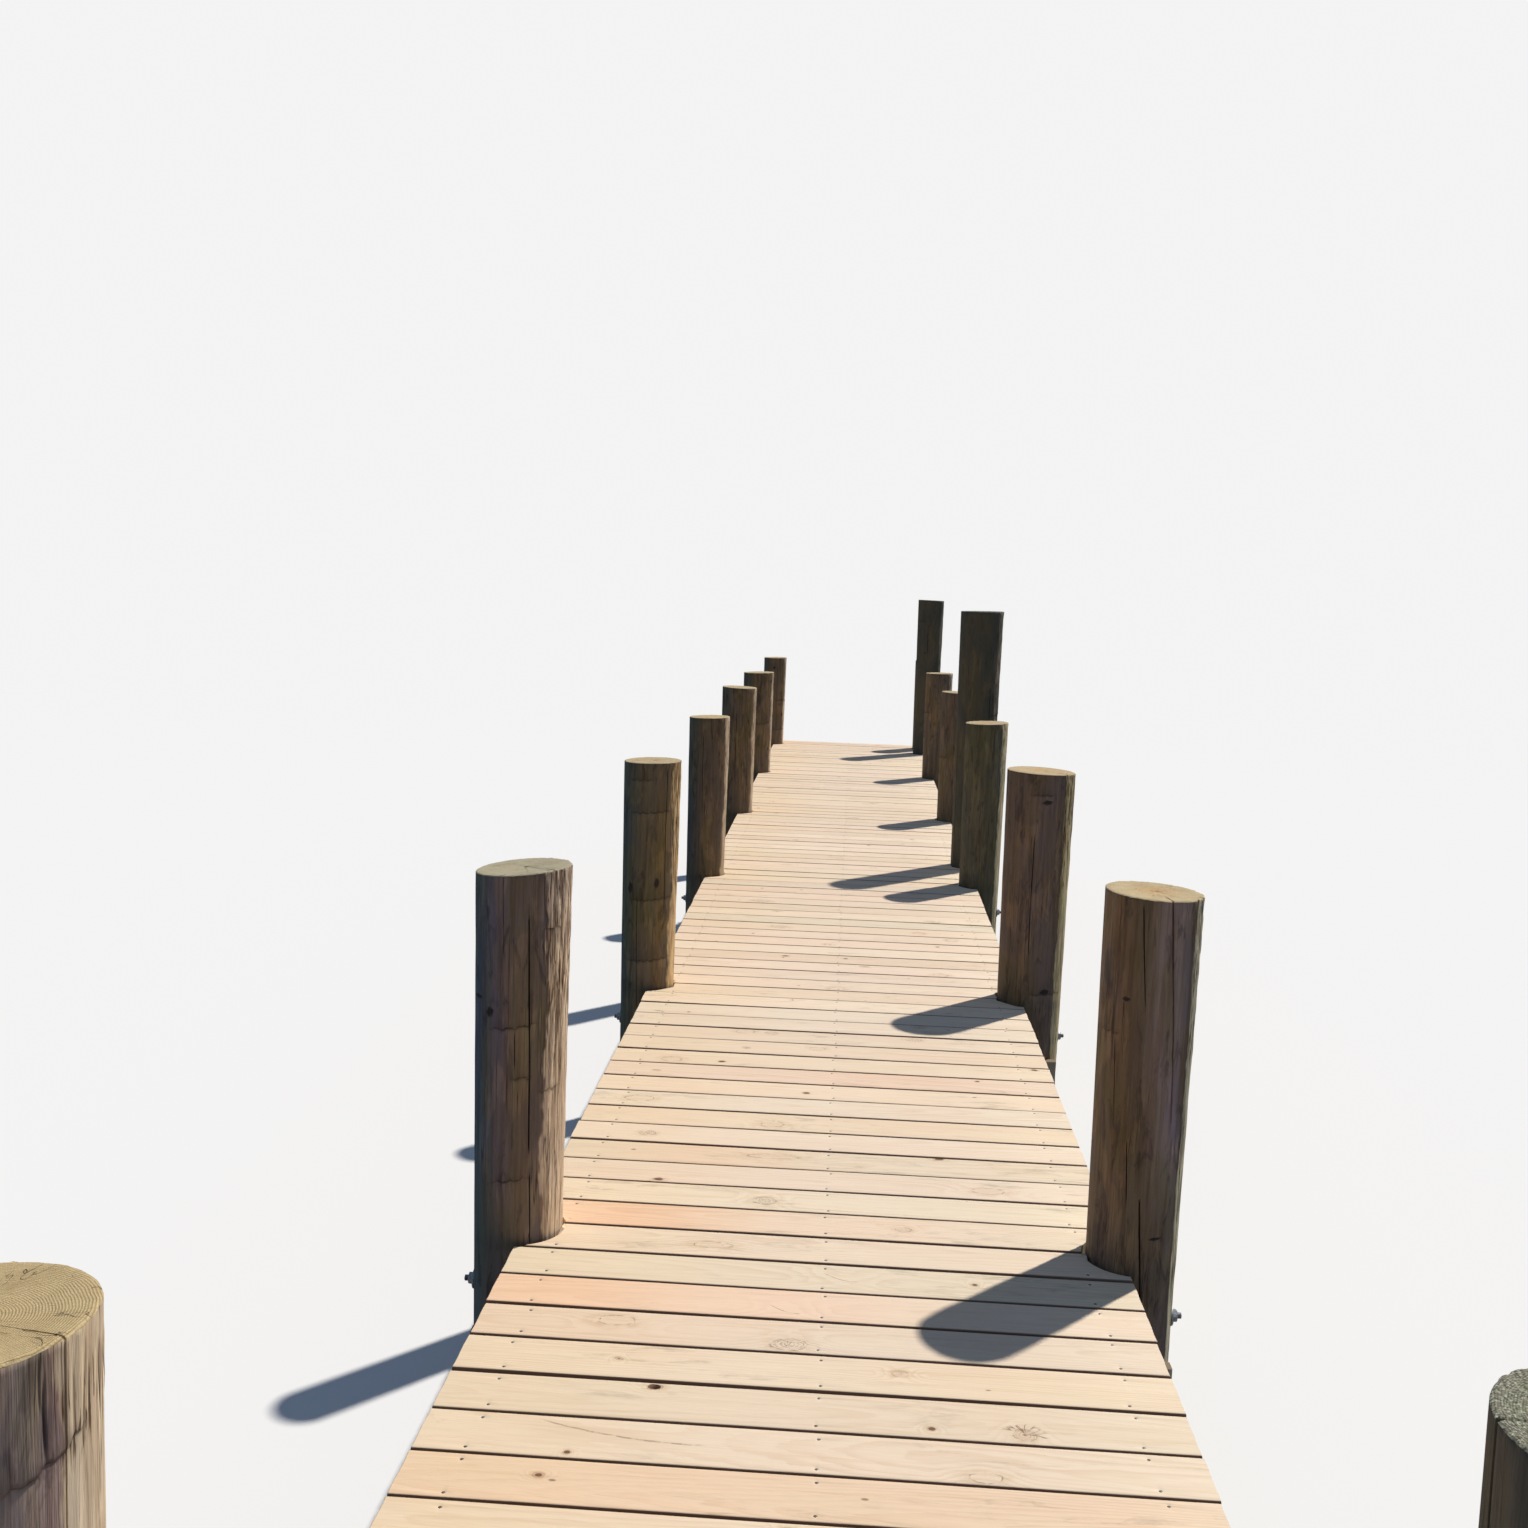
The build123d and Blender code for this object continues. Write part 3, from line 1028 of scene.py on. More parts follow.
    def tears(self, level):
        """How rough the sun side is, by height above the deck."""
        if self.look["torn_band"]:
            begin, full, weaken, end = self.look["torn_band"]
            return 0.15 + 0.85 * smooth_step(level, begin, full) * (1 - smooth_step(level, weaken, end))
        return 0.40 + 0.60 * smooth_step(level, self.pile.rise * 0.35, self.pile.rise * 0.75)

    def bleach_and_sunlight(self, angle, level):
        """How pale the sun side is, partly bleached wood and partly painted sunlight, with a ragged edge."""
        ragged = 7 * np.sin(9 * level + self.seeds[0]) + 5 * np.sin(23 * level + self.seeds[1])
        ragged = ragged + 3 * np.sin(61 * level + self.seeds[2]) + 2 * np.sin(140 * level)
        ragged = ragged * (1 if self.pile.side < 0 else 0.35)
        past = np.cos(angle - np.radians(sun_side_bearing + 0.5 * ragged))
        reach, fade = self.look["bleached_and_lit"]
        return smooth_step(past, cos(radians(reach)), cos(radians(reach - fade)))

    def deck_stain(self, level):
        """Dark ring where the pile passes through the boards, and the tide band at the foot."""
        ring = np.exp(-np.abs(level + 0.01) / 0.02) * 0.35
        low = np.exp(-(level + deck_top) / 0.16)
        return np.clip(ring + low, 0, 1)

    def top_height(self, x, y):
        """Height of the sawn top over a point, from the axis."""
        pile = self.pile
        return pile.top + top_lift + pile.top_drop + pile.climb * x + pile.climb_away * y

    def seat_in_daps(self, x, y, height):
        """Flattens the pile where the stringer and the cap planks bear on it."""
        side = self.pile.side
        beside = (height > stringer_low.z - dap_room) & (height < stringer_high.z + dap_room)
        x = np.where(beside, -side * np.minimum(-side * x, self.pile.seat), x)
        if self.bent:
            across = self.bent.across
            past = x * across.x + y * across.y
            clasped = (height > self.bent.low - dap_room) & (height < self.bent.high + dap_room)
            shift = np.where(clasped, np.clip(past, -self.bent.inner, self.bent.inner) - past, 0)
            x, y = x + shift * across.x, y + shift * across.y
        return x, y

    def tints(self, angle, level):
        """Factors of the shaded colour: strips of other colours, and painted skylight away from the deck."""
        # Painted skylight: the side away from the deck, out of the sun, is tinted bluer, and on the right
        # piles lighter too.
        outward = smooth_step(self.pile.side * np.sin(angle), 0.15, 0.85)
        painted_skylight = outward * (1 - self.bleach_and_sunlight(angle, angle * 0))
        factors = 1 + painted_skylight[:, None] * (np.array(away_skylight_factors[self.pile.side]) - 1)
        wander = 0.05 * np.sin(6 * level + self.seeds[0]) + 0.035 * np.sin(17 * level + self.seeds[1])
        foot = self.look["strip_foot"]
        for bearing, half_width, strip in self.look["strips"]:
            gap = np.abs(wrapped(angle + wander - radians(bearing)))
            share = 1 - smooth_step(gap, radians(half_width * 0.4), radians(half_width * 1.3))
            if foot:
                share = share * smooth_step(level + wander, foot - strip_fade, foot)
            factors = factors * (1 + share[:, None] * (np.array(strip) - 1))
        return factors

    def values(self, points, wear, glow):
        """What the material reads at each point."""
        pile = self.pile
        local = points - (pile.x, pile.y, 0)
        angle = np.arctan2(local[:, 0], -local[:, 1])
        level = local[:, 2] - deck_top
        # The lit tone is that of the paler sun side: partly bleached wood and partly painted sunlight.
        shaded, lit = np.array(self.look["tones"]) * self.rng.uniform(0.94, 1.06)
        offsets = []
        for bearing, knot_height, half_width, half_height in self.knots:
            turn = radians(bearing)
            out = np.array((sin(turn), -cos(turn), 0))
            beside = np.array((cos(turn), sin(turn), 0)) / half_width
            offset = local - out * pile.deck_radius - (0, 0, deck_top + knot_height)
            parts = (offset @ beside, offset[:, 2] / half_height, offset @ out / knot_reach)
            offsets.append(np.column_stack(parts))
        return {
            "grain": local + (0, 0, self.rng.uniform(0, 50)),
            "pith": local - (*self.pith, pile.top) + (0, 0, self.rng.uniform(0, 9)),
            "tint": shaded * self.tints(angle, level) * glow[:, None],
            "pale": lit,
            "sides": np.column_stack((self.bleach_and_sunlight(angle, level), self.tears(level), level * 0)),
            "wear": wear,
            "sawn": self.look["top_tint"],
            **knot_values(knot_names[:2], offsets),
        }

    def add_to(self, shape):
        """Adds the side with the foot, and the sawn top in the second material."""
        x, y, height, wear, glow = self.surface()
        rows, columns = x.shape
        rings, ring_shade_and_heart = self.top_rings(x[-1], y[-1], wear[-1])
        points = np.vstack((np.stack((x, y, height), axis=2).reshape(-1, 3), rings, [[0, 0, 0]]))
        points = points + (self.pile.x, self.pile.y, 0)
        wear = np.vstack((wear.reshape(-1, 3), ring_shade_and_heart, [[0, 0, 0]]))
        glow = np.concatenate((glow.ravel(), np.ones(len(rings) + 1)))
        rim = (rows - 1) * columns
        foot = fan_faces(len(points) - 1, 0, columns)[:, ::-1]
        side = [*grid_faces(rows, columns, closed=True), *foot]
        inner = rim + len(ring_shares) * columns
        top = [
            *(grid_faces(len(ring_shares) + 1, columns, closed=True) + rim),
            *fan_faces(inner + columns, inner, columns),
        ]
        shape.add(points, side, top, **self.values(points, wear, glow))

    def top_rings(self, rim_x, rim_y, rim_shade_and_wear):
        """Rings of points of the sawn top, from the rim to the middle."""
        rim = np.hypot(rim_x, rim_y)
        heart = self.look["heart"]
        depth = rim_shade_and_wear[:, 0]
        rings, ring_shades_and_hearts = [], []
        for share in ring_shares:
            scale = share * (rim - top_bevel) / rim
            x, y = rim_x * scale, rim_y * scale
            rough = self.rng.normal(size=len(x)) * top_roughness
            split = depth * smooth_step(share, 0.55, 0.98)
            drop = top_rim_drop if share == 1 else 0
            height = self.top_height(x, y) + rough - split * top_split_depth - drop
            rings.append(np.column_stack((x, y, height)))
            ring_shades_and_hearts.append(np.column_stack((split, x * 0 + heart * (share < 1), x * 0)))
        rings.append([[0, 0, self.top_height(0.0, 0.0)]])
        ring_shades_and_hearts.append([[0, heart, 0]])
        return np.vstack(rings), np.vstack(ring_shades_and_hearts)


def build_piles(finishes, bents):
    """Every pile as a piece of its own."""
    for index, pile in enumerate(piles.values()):
        bent = None if pile.tall else bents[pile.number - 1]
        side, top = "pile_wood", "pile_end_grain"
        if pile.name in old_piles:
            side, top = "old_pile_wood", "old_end_grain"
        shape = Shape()
        PileSurface(pile, bent, index).add_to(shape)
        shape.make(f"round_{pile.name}", [finishes[side], finishes[top]], side, [pile.name], sharp_angle=50)


# Bolts.


def bolt_parts():
    """The washer, the nut and the threaded end, standing on the origin along Z."""
    low, high, tip = washer_thickness, washer_thickness + nut_height, washer_thickness + rod_length
    washer = (
        (bore_radius, low), (washer_radius - washer_edge, low), (washer_radius, low - washer_edge),
        (washer_radius, -washer_edge),
    )
    nut = (
        (bore_radius, high), (nut_radius * nut_crown, high), (nut_radius, high - nut_chamfer),
        (nut_radius, low),
    )
    rod = [(tip_radius, tip), (thread_root, tip - tip_slope)]
    for turn in range(thread_count):
        crest = tip - thread_start - turn * thread_pitch
        rod += [(rod_radius, crest), (thread_root, crest - thread_pitch / 2)]
    rod.append((thread_root, low))
    return lathe(washer, washer_sides), lathe(nut, nut_sides), lathe(rod, rod_sides)


def add_bolt(shape, parts, foot, way, rng):
    """One bolt end that stands out of the wood along a direction."""
    aim = Vector(way).to_track_quat("Z", "Y").to_matrix()
    turn = np.array(aim @ Matrix.Rotation(rng.uniform(0, pi), 3, "Z"))
    for points, faces in parts:
        shape.add(points @ turn.T + np.array(foot), faces)


def add_stringer_bolt(shape, parts, pile, rng):
    """Both ends of the bolt through a pile and its stringer."""
    level = stringer_high.z - stringer_bolt_drop
    outer = pile.x + pile.side * (pile.radius_at(level) - bolt_sink)
    inner = pile.side * stringer_low.x
    add_bolt(shape, parts, (outer, pile.y, level), (pile.side, 0, 0), rng)
    add_bolt(shape, parts, (inner, pile.y, level), (-pile.side, 0, 0), rng)


def build_bolts(finishes, bents):
    """Bolts through the stringers and through the caps at each pile."""
    parts = bolt_parts()
    for bent in bents:
        shape = Shape()
        rng = random_from(bolt_seed, bent.number)
        upper, lower = bent.high - cap_bolt_inset, bent.low + cap_bolt_inset
        cap_bolts = ((upper, -cap_bolt_offset), (lower, cap_bolt_offset))
        for pile in (bent.left, bent.right):
            add_stringer_bolt(shape, parts, pile, rng)
            for level, past in cap_bolts:
                for way in (-1, 1):
                    foot = Vector((pile.x, pile.y, 0)) + bent.along * past + bent.across * way * bent.outer
                    foot.z = level
                    add_bolt(shape, parts, foot, bent.across * way, rng)
        shape.make(f"bolts_{bent.number}", [finishes["galvanised_steel"]], "galvanised_steel")
    for pile in piles.values():
        if pile.tall:
            shape = Shape()
            add_stringer_bolt(shape, parts, pile, random_from(tall_bolt_seed, int(pile.y * 100) + 1000))
            shape.make(f"{pile.name}_bolts", [finishes["galvanised_steel"]], "galvanised_steel")


# Materials.


class Field:
    """A number, a place or a colour that the nodes of a material work out."""

    def __init__(self, work, socket):
        self.work = work
        self.socket = socket

    def maths(self, kind, *others):
        return self.work.node("ShaderNodeMath", dict(enumerate((self, *others))), operation=kind)

    def __add__(self, other):
        return self.maths("ADD", other)

    def __sub__(self, other):
        return self.maths("SUBTRACT", other)

    def __mul__(self, other):
        return self.maths("MULTIPLY", other)

    def __abs__(self):
        return self.maths("ABSOLUTE")

    def most(self, other):
        return self.maths("MAXIMUM", other)

    def span(self, low, high, start=0.0, end=1.0):
        """Carries low..high smoothly to start..end."""
        inputs = {"Value": self, "From Min": low, "From Max": high, "To Min": start, "To Max": end}
        return self.work.node("ShaderNodeMapRange", inputs, "Result", interpolation_type="SMOOTHSTEP")

    def fall(self, low, high):
        """Falls smoothly from 1 at low to 0 at high."""
        return self.span(low, high, 1.0, 0.0)

    def vector_maths(self, kind, output, *others):
        inputs = dict(enumerate((self, *others)))
        return self.work.node("ShaderNodeVectorMath", inputs, output, operation=kind)

    def scaled(self, *factors):
        return self.vector_maths("MULTIPLY", 0, factors)

    def length(self):
        return self.vector_maths("LENGTH", "Value")

    def parts(self):
        """X, Y and Z of a place."""
        sockets = self.work.node("ShaderNodeSeparateXYZ", {"Vector": self}).socket.node.outputs
        return [Field(self.work, socket) for socket in sockets]

    def noise(self, sizes, detail, roughness, warp=0.0, shift=0.0):
        """Noise that is finer along an axis with a larger size; noises with other shifts differ."""
        place = self.vector_maths("ADD", 0, (shift, shift, shift)) if shift else self
        inputs = {
            "Vector": place.scaled(*sizes), "Scale": 1.0, "Detail": detail, "Roughness": roughness,
            "Distortion": warp,
        }
        return self.work.node("ShaderNodeTexNoise", inputs, "Fac")

    def towards(self, colour, share):
        """The colour with part of another mixed in."""
        return self.work.mix(self, colour, share)

    def tinted(self, factors, share=1.0):
        """The colour with part of a tint laid over it."""
        return self.towards(self.work.mix(self, factors, 1.0, "MULTIPLY"), share)

    def layered(self, *layers):
        """The colour with tints laid over it in turn: what steers each, from where to where and
        how strongly, and its factors."""
        colour = self
        for steer, low, high, start, end, factors in layers:
            colour = colour.tinted(factors, steer.span(low, high, start, end))
        return colour


class Finish:
    """The nodes of a material, or of the surroundings."""

    def __init__(self, owner):
        self.owner = owner
        owner.use_nodes = True
        self.nodes = owner.node_tree.nodes
        self.links = owner.node_tree.links
        self.nodes.clear()

    def node(self, kind, inputs, output=0, **settings):
        """Adds a node with its settings and inputs, and gives one thing that it puts out."""
        node = self.nodes.new(kind)
        for key, value in settings.items():
            setattr(node, key, value)
        for key, value in inputs.items():
            if isinstance(value, Field):
                self.links.new(value.socket, node.inputs[key])
            else:
                node.inputs[key].default_value = value
        return Field(self, node.outputs[output])

    def attribute(self, name, output="Vector"):
        return self.node("ShaderNodeAttribute", {}, output, attribute_name=name)

    def bearing_of(self, x, y, *others):
        """A place whose X is the bearing of a point from the middle."""
        names = zip(("X", "Y", "Z"), (y.maths("ARCTAN2", x), *others))
        return self.node("ShaderNodeCombineXYZ", dict(names))

    def mix(self, first, second, share, kind="MIX"):
        """Two colours mixed, the second by a share."""
        first, second = [entry if isinstance(entry, Field) else (*entry, 1.0) for entry in (first, second)]
        inputs = {0: share, 6: first, 7: second}
        return self.node("ShaderNodeMix", inputs, 2, data_type="RGBA", blend_type=kind)

    def close(self, surface, kind="ShaderNodeOutputMaterial"):
        self.links.new(surface.socket, self.nodes.new(kind).inputs["Surface"])
        return self.owner

    def finish(self, colour, roughness, height, depth, metallic=0.0):
        """Closes the material with its relief and its shader."""
        bump = self.node("ShaderNodeBump", {"Height": height, "Distance": depth, "Strength": 1.0})
        inputs = {"Base Color": colour, "Roughness": roughness, "Normal": bump, "Metallic": metallic}
        return self.close(self.node("ShaderNodeBsdfPrincipled", inputs))


def new_material(name):
    return Finish(bpy.data.materials.new(name))


def sawn_knots(work, grain):
    """Knots of a plank: how much is knot, outline, dark heart, split and pale surround, and how
    far the grain bends."""
    rough = grain.noise((26, 42, 42), 3.0, 0.55, shift=2.0)
    broken = grain.noise((40, 60, 60), 3.0, 0.6, shift=5.0)
    specks = grain.noise((230, 320, 320), 2.0, 0.6, shift=7.0)
    body, outline, heart, splits, halo, bend = 0.0, 0.0, 0.0, 0.0, 0.0, 0.0
    for name, dark in zip(knot_names, work.attribute("knot_dark").parts()):
        offset = work.attribute(name)
        x, y = offset.parts()[:2]
        knotty = dark.span(-0.5, -0.1)
        reach = offset.length() + (rough - 0.5) * 0.8
        turns = (reach * 3.6).maths("FRACT")
        rings = turns.span(0.55, 0.90) * turns.fall(0.90, 1.0) * reach.fall(0.9, 1.25)
        rings = rings * (dark.span(0.08, 0.40) * dark.span(0.5, 0.8, 1.0, 0.3))
        rim = reach.span(0.88, 0.97) * reach.fall(0.97, 1.05) * broken.span(0.38, 0.56, 0.10, 1.0)
        near = reach.span(0.85, 1.05) * reach.fall(1.05, 2.1) * knotty * broken.span(0.36, 0.62, 0.15, 1.0)
        halo = near.most(halo)
        drawn = (rim * 0.85).most(rings * broken.span(0.35, 0.65, 0.2, 0.9))
        outline = (drawn * knotty).most(outline)
        body = (reach.fall(0.75, 1.05) * knotty * dark.span(0.40, 0.95, 0.12, 1.0)).most(body)
        core = (reach - dark.span(0.5, 1.0) * 0.75).fall(-0.02, 0.14)
        spotted = dark.span(0.25, 0.40) * dark.fall(0.50, 0.56)
        dots = specks.span(0.58, 0.66) * (reach.fall(0.45, 0.75) * spotted)
        heart = ((core * dark.span(0.45, 0.65)).most(dots) * knotty).most(heart)
        rays = work.bearing_of(x, y, reach, dark).noise((2.6, 0.4, 1), 1.0, 0.5)
        feathered = dark.span(0.52, 0.58) * dark.fall(0.62, 0.68)
        sector = (y + x * 0.4).span(0.0, 0.3)
        feather = abs(rays - 0.5).fall(0.0, 0.075) * reach.fall(1.5, 2.2) * (feathered * sector)
        bowed = x * -0.7 + x * x * 0.45
        aside = abs(y - (bowed - 0.25) + rough * 0.12)
        curve = aside.fall(0.02, 0.09) * abs(x).fall(0.75, 1.05)
        curve = curve * (dark.fall(-0.9, -0.5) * broken.span(0.36, 0.55, 0.15, 0.8))
        splits = feather.most(curve).most(splits)
        bend = reach.fall(0.4, 3.6) + bend
    return body, outline, heart, splits, halo, bend


def sawn_wood(name, aged):
    """Sawn pine with its rings, fibres, knots and faint stains."""
    work = new_material(name)
    grain = work.attribute("grain")
    edge = work.attribute("wear").parts()[0]
    body, outline, heart, splits, halo, bend = sawn_knots(work, grain)
    wander = grain.noise((1.6, 10, 10), 3.0, 0.55)
    radius = grain.scaled(0, 1, 1).length() + (wander - 0.5) * 0.034 + bend * 0.020
    rings = (radius * (1 / plank_ring_width)).maths("FRACT")
    late = rings.span(0.25, 0.90) * rings.fall(0.90, 1.0)
    fibre = grain.noise((9, 520, 520), 3.0, 0.6)
    streak = grain.noise((1.3, 60, 60), 3.0, 0.6)
    cloud = grain.noise((1.7, 7, 7), 3.0, 0.6, 0.3)
    wash = grain.noise((1.3, 3, 3), 2.0, 0.5, shift=9.0)
    smudge = grain.noise((7.0, 30, 30), 4.0, 0.7, 0.5, shift=7.0)
    patches = grain.noise((2.2, 7, 7), 1.0, 0.5, shift=3.0)
    cells = work.node("ShaderNodeTexVoronoi", {"Vector": grain.scaled(4, 7, 7), "Scale": 1.0})
    pins = cells.fall(0.020, 0.040)
    ring_share = late * (cloud.span(0.35, 0.65, 0.25, 1.0) * (0.55 if aged else 0.34))
    base = work.attribute("tint", "Color").tinted((0.78, 0.66, 0.55), ring_share)
    base = base.layered(
        (streak, 0.52, 0.76, 0.0, 0.40, (0.82, 0.72, 0.60)),
        (streak, 0.26, 0.44, 0.35, 0.0, (1.05, 1.06, 1.08)),
        (wash, 0.52, 0.70, 0.0, 0.24, (1.03, 0.90, 0.84)),
        (wash, 0.30, 0.46, 0.38, 0.0, (0.94, 0.98, 0.95)),
    )
    base = base.tinted((0.62, 0.64, 0.62), smudge.span(0.50, 0.72, 0.0, 0.75) * patches.span(0.50, 0.66))
    base = base.towards((0.42, 0.28, 0.16), fibre.span(0.28, 0.62, 0.13, 0.0))
    base = base.tinted((0.80, 0.72, 0.62), halo * 0.60)
    base = base.tinted((0.74, 0.60, 0.47), body)
    base = base.towards((0.24, 0.16, 0.10), outline * 0.86)
    base = base.towards((0.13, 0.055, 0.030), heart * 0.88)
    base = base.towards((0.16, 0.09, 0.055), splits.most(pins) * 0.72)
    # Painted shade on the sides, the underside and the eased edges of the plank.
    base = base.towards((0.20, 0.112, 0.064), edge * 0.92)
    if aged:
        base = base.towards((0.20, 0.19, 0.12), cloud.span(0.35, 0.65, 0.25, 0.75))
    height = late * 0.35 + fibre * 0.7 + (outline + (splits + heart)) * -0.8 + streak * 0.5
    return work.finish(base, fibre.span(0.3, 0.7, 0.68, 0.86), height, 0.0006)


def pile_wood(name, old):
    """Peeled round wood: streaks, fine checks, stains and knots."""
    work = new_material(name)
    grain = work.attribute("grain")
    dark, stain, torn = work.attribute("wear").parts()
    sunny, rough_side = work.attribute("sides").parts()[:2]
    streak = grain.noise((80, 80, 3.0), 4.0, 0.62, 0.15)
    fibre = grain.noise((420, 420, 9), 3.0, 0.65)
    cloud = grain.noise((7, 7, 2.6), 4.0, 0.6, 0.5)
    blot = grain.noise((30, 30, 7), 4.0, 0.62, 0.8, shift=4.0)
    patch = grain.noise((12, 12, 4), 3.0, 0.55, 0.6, shift=2.0)
    seam = abs(grain.noise((55, 55, 1.1), 2.0, 0.5, 0.2, shift=8.0) - 0.5).fall(0.0, 0.012)
    seam = seam * patch.span(0.46, 0.62)
    gash = grain.noise((290, 290, 14), 2.0, 0.6, shift=6.0).span(0.53, 0.60)
    gash = gash * rough_side * sunny.span(0.05, 0.35)
    ragged = (streak - 0.5) + (fibre - 0.5) * 0.5
    base = work.attribute("tint", "Color").layered(
        (streak, 0.40, 0.64, 0.0, 0.85, (0.70, 0.62, 0.56)),
        (cloud, 0.48, 0.60, 0.0, 0.85, (0.86, 0.90, 1.16)),
        (cloud, 0.36, 0.47, 0.80, 0.0, (0.86, 0.92, 0.72)),
        (patch, 0.50, 0.60, 0.0, 0.80, (1.50, 1.42, 1.32)),
        (blot, 0.54, 0.66, 0.0, 0.80, (0.52, 0.50, 0.54)),
        (fibre, 0.35, 0.65, 0.0, 0.35, (1.5, 1.5, 1.5)),
    )
    # The paler sun side: partly bleached wood and partly painted sunlight, with streaks, clouds and blots of
    # its own.
    bleached_and_lit = work.attribute("pale", "Color").layered(
        (streak, 0.42, 0.60, 0.0, 0.55, (0.66, 0.58, 0.52)),
        (cloud, 0.46, 0.62, 0.0, 0.60, (0.86, 0.87, 0.98)),
        (blot, 0.52, 0.68, 0.0, 0.55, (0.62, 0.56, 0.52)),
    )
    base = base.towards(bleached_and_lit, (sunny + ragged * 1.6).span(0.25, 0.75))
    base = base.tinted((0.30, 0.23, 0.19), gash)
    # Painted highlight on the raised slivers and painted shade in the hollows between them.
    base = base.layered(
        (torn, 0.05, 0.60, 0.0, 0.8, (1.25, 1.25, 1.22)), (torn, -0.8, -0.02, 0.85, 0.0, (0.42, 0.36, 0.33)),
    )
    if old:
        base = base.towards((0.060, 0.066, 0.042), cloud.span(0.35, 0.62, 0.45, 0.85))
        base = base.towards((0.11, 0.105, 0.085), streak.span(0.45, 0.62, 0.0, 0.45))
    knot = 0.0
    for key in knot_names[:2]:
        offset = work.attribute(key)
        reach = offset.length() + (offset.noise((1.2, 1.2, 1.2), 2.0, 0.6) - 0.5) * 1.1
        knot = reach.fall(0.6, 1.15).most(knot)
    base = base.towards((0.022, 0.016, 0.013), knot * 0.92)
    base = base.towards((0.04, 0.028, 0.020), seam * 0.8)
    base = base.towards((0.045, 0.050, 0.034), stain * 0.6)
    # Painted shade in the checks and under the ledges.
    base = base.towards((0.022, 0.016, 0.012), dark * 0.85)
    height = streak + fibre * 0.45 + (seam + gash) * -0.9 + knot * -1.2 + blot * 0.8
    return work.finish(base, fibre.span(0.3, 0.7, 0.70, 0.92), height, 0.0020)


def end_grain(name, pale, ring, heart, mossy):
    """Sawn end of a log: growth rings, rays, saw marks and radial checks."""
    work = new_material(name)
    place = work.attribute("pith")
    dark, orange = work.attribute("wear").parts()[:2]
    x, y, z = place.parts()
    radius = place.scaled(1, 1, 0).length() + (place.noise((14, 14, 1), 2.0, 0.5) - 0.5) * 0.012
    turns = (radius * (1 / pile_ring_width)).maths("FRACT")
    late = turns.span(0.30, 0.90) * turns.fall(0.92, 1.0)
    strength = place.noise((45, 45, 1), 2.0, 0.6)
    fuzz = place.noise((650, 650, 1), 3.0, 0.7)
    saw = place.noise((22, 420, 1), 2.0, 0.6)
    cloud = place.noise((20, 20, 1), 3.0, 0.6, shift=5.0)
    ray = abs(work.bearing_of(x, y, radius, z).noise((2.6, 9.0, 1), 3.0, 0.5) - 0.5).fall(0.0, 0.006)
    ray = ray * (radius.span(0.012, 0.03) * cloud.span(0.42, 0.6))
    base = work.mix(pale, ring, late * strength.span(0.3, 0.7, 0.55, 1.0))
    orange = orange * cloud.span(0.36, 0.56, 0.25, 1.0) * radius.span(0.030, 0.075, 0.85, 0.0)
    base = base.towards(base.towards(heart, 0.5), orange)
    base = base.layered((cloud, 0.45, 0.70, 0.0, 0.35, (0.72, 0.66, 0.58)))
    base = base.towards((0.20, 0.15, 0.09), fuzz.span(0.35, 0.75, 0.30, 0.0))
    base = base.layered((saw, 0.56, 0.72, 0.0, 0.35, (0.75, 0.70, 0.62)))
    if mossy:
        grit = place.noise((290, 290, 1), 2.0, 0.6, shift=2.0)
        base = base.towards((0.055, 0.052, 0.045), grit.span(0.36, 0.50, 0.80, 0.0))
        base = base.towards((0.58, 0.58, 0.55), grit.span(0.54, 0.66, 0.0, 0.75))
        base = base.tinted((0.74, 1.07, 0.62), radius.fall(0.05, 0.125) * cloud.span(0.36, 0.52) * 0.9)
    base = work.mix(base, work.attribute("sawn", "Color"), 1.0, "MULTIPLY")
    base = base.towards((0.06, 0.04, 0.025), ray * 0.8)
    # Painted shade in the splits of the top.
    base = base.towards((0.05, 0.035, 0.02), dark * 0.8)
    height = late * 0.5 + fuzz * (1.3 if mossy else 0.8) + ray * -0.8 + saw * 0.5
    return work.finish(base, 0.85, height, 0.0011)


def zinc_steel(name, dull):
    """Galvanised steel with its crystal spangle, white bloom and a little rust."""
    work = new_material(name)
    place = work.node("ShaderNodeNewGeometry", {}, "Position")
    cells = work.node("ShaderNodeTexVoronoi", {"Vector": place, "Scale": 160.0}, "Distance")
    cloud = place.noise((60, 60, 60), 4.0, 0.65)
    rust = place.noise((95, 95, 95), 4.0, 0.7, shift=6.0)
    base = work.mix((0.36, 0.38, 0.40), (0.52, 0.54, 0.56), cells.span(0.2, 0.8))
    base = base.towards((0.62, 0.63, 0.62), cloud.span(0.45, 0.7, 0.0, 0.6))
    if dull:
        base = base.towards((0.07, 0.055, 0.045), cloud.span(0.3, 0.6, 0.55, 0.9))
    base = base.towards((0.24, 0.10, 0.04), rust.span(0.58, 0.72, 0.0, 0.8))
    metallic = 0.7 if dull else 0.85
    return work.finish(base, cloud.span(0.3, 0.7, 0.42, 0.68), cells + cloud, 0.0002, metallic)


def plain_floor():
    """Plain pale floor that keeps the shadow, fades out far away and lights the wood little."""
    work = new_material("plain_floor")
    place = work.node("ShaderNodeNewGeometry", {}, "Position")
    seen = work.node("ShaderNodeLightPath", {}, "Is Camera Ray")
    plain = work.node("ShaderNodeBsdfDiffuse", {"Color": work.mix(floor_bounce, floor_colour, seen)})
    glow = work.node("ShaderNodeEmission", {"Color": (*backdrop_colour, 1.0), "Strength": 1.0})
    far = place.length().span(*floor_fade) * seen
    return work.close(work.node("ShaderNodeMixShader", {0: far, 1: plain, 2: glow}))


# Stage, light and camera.


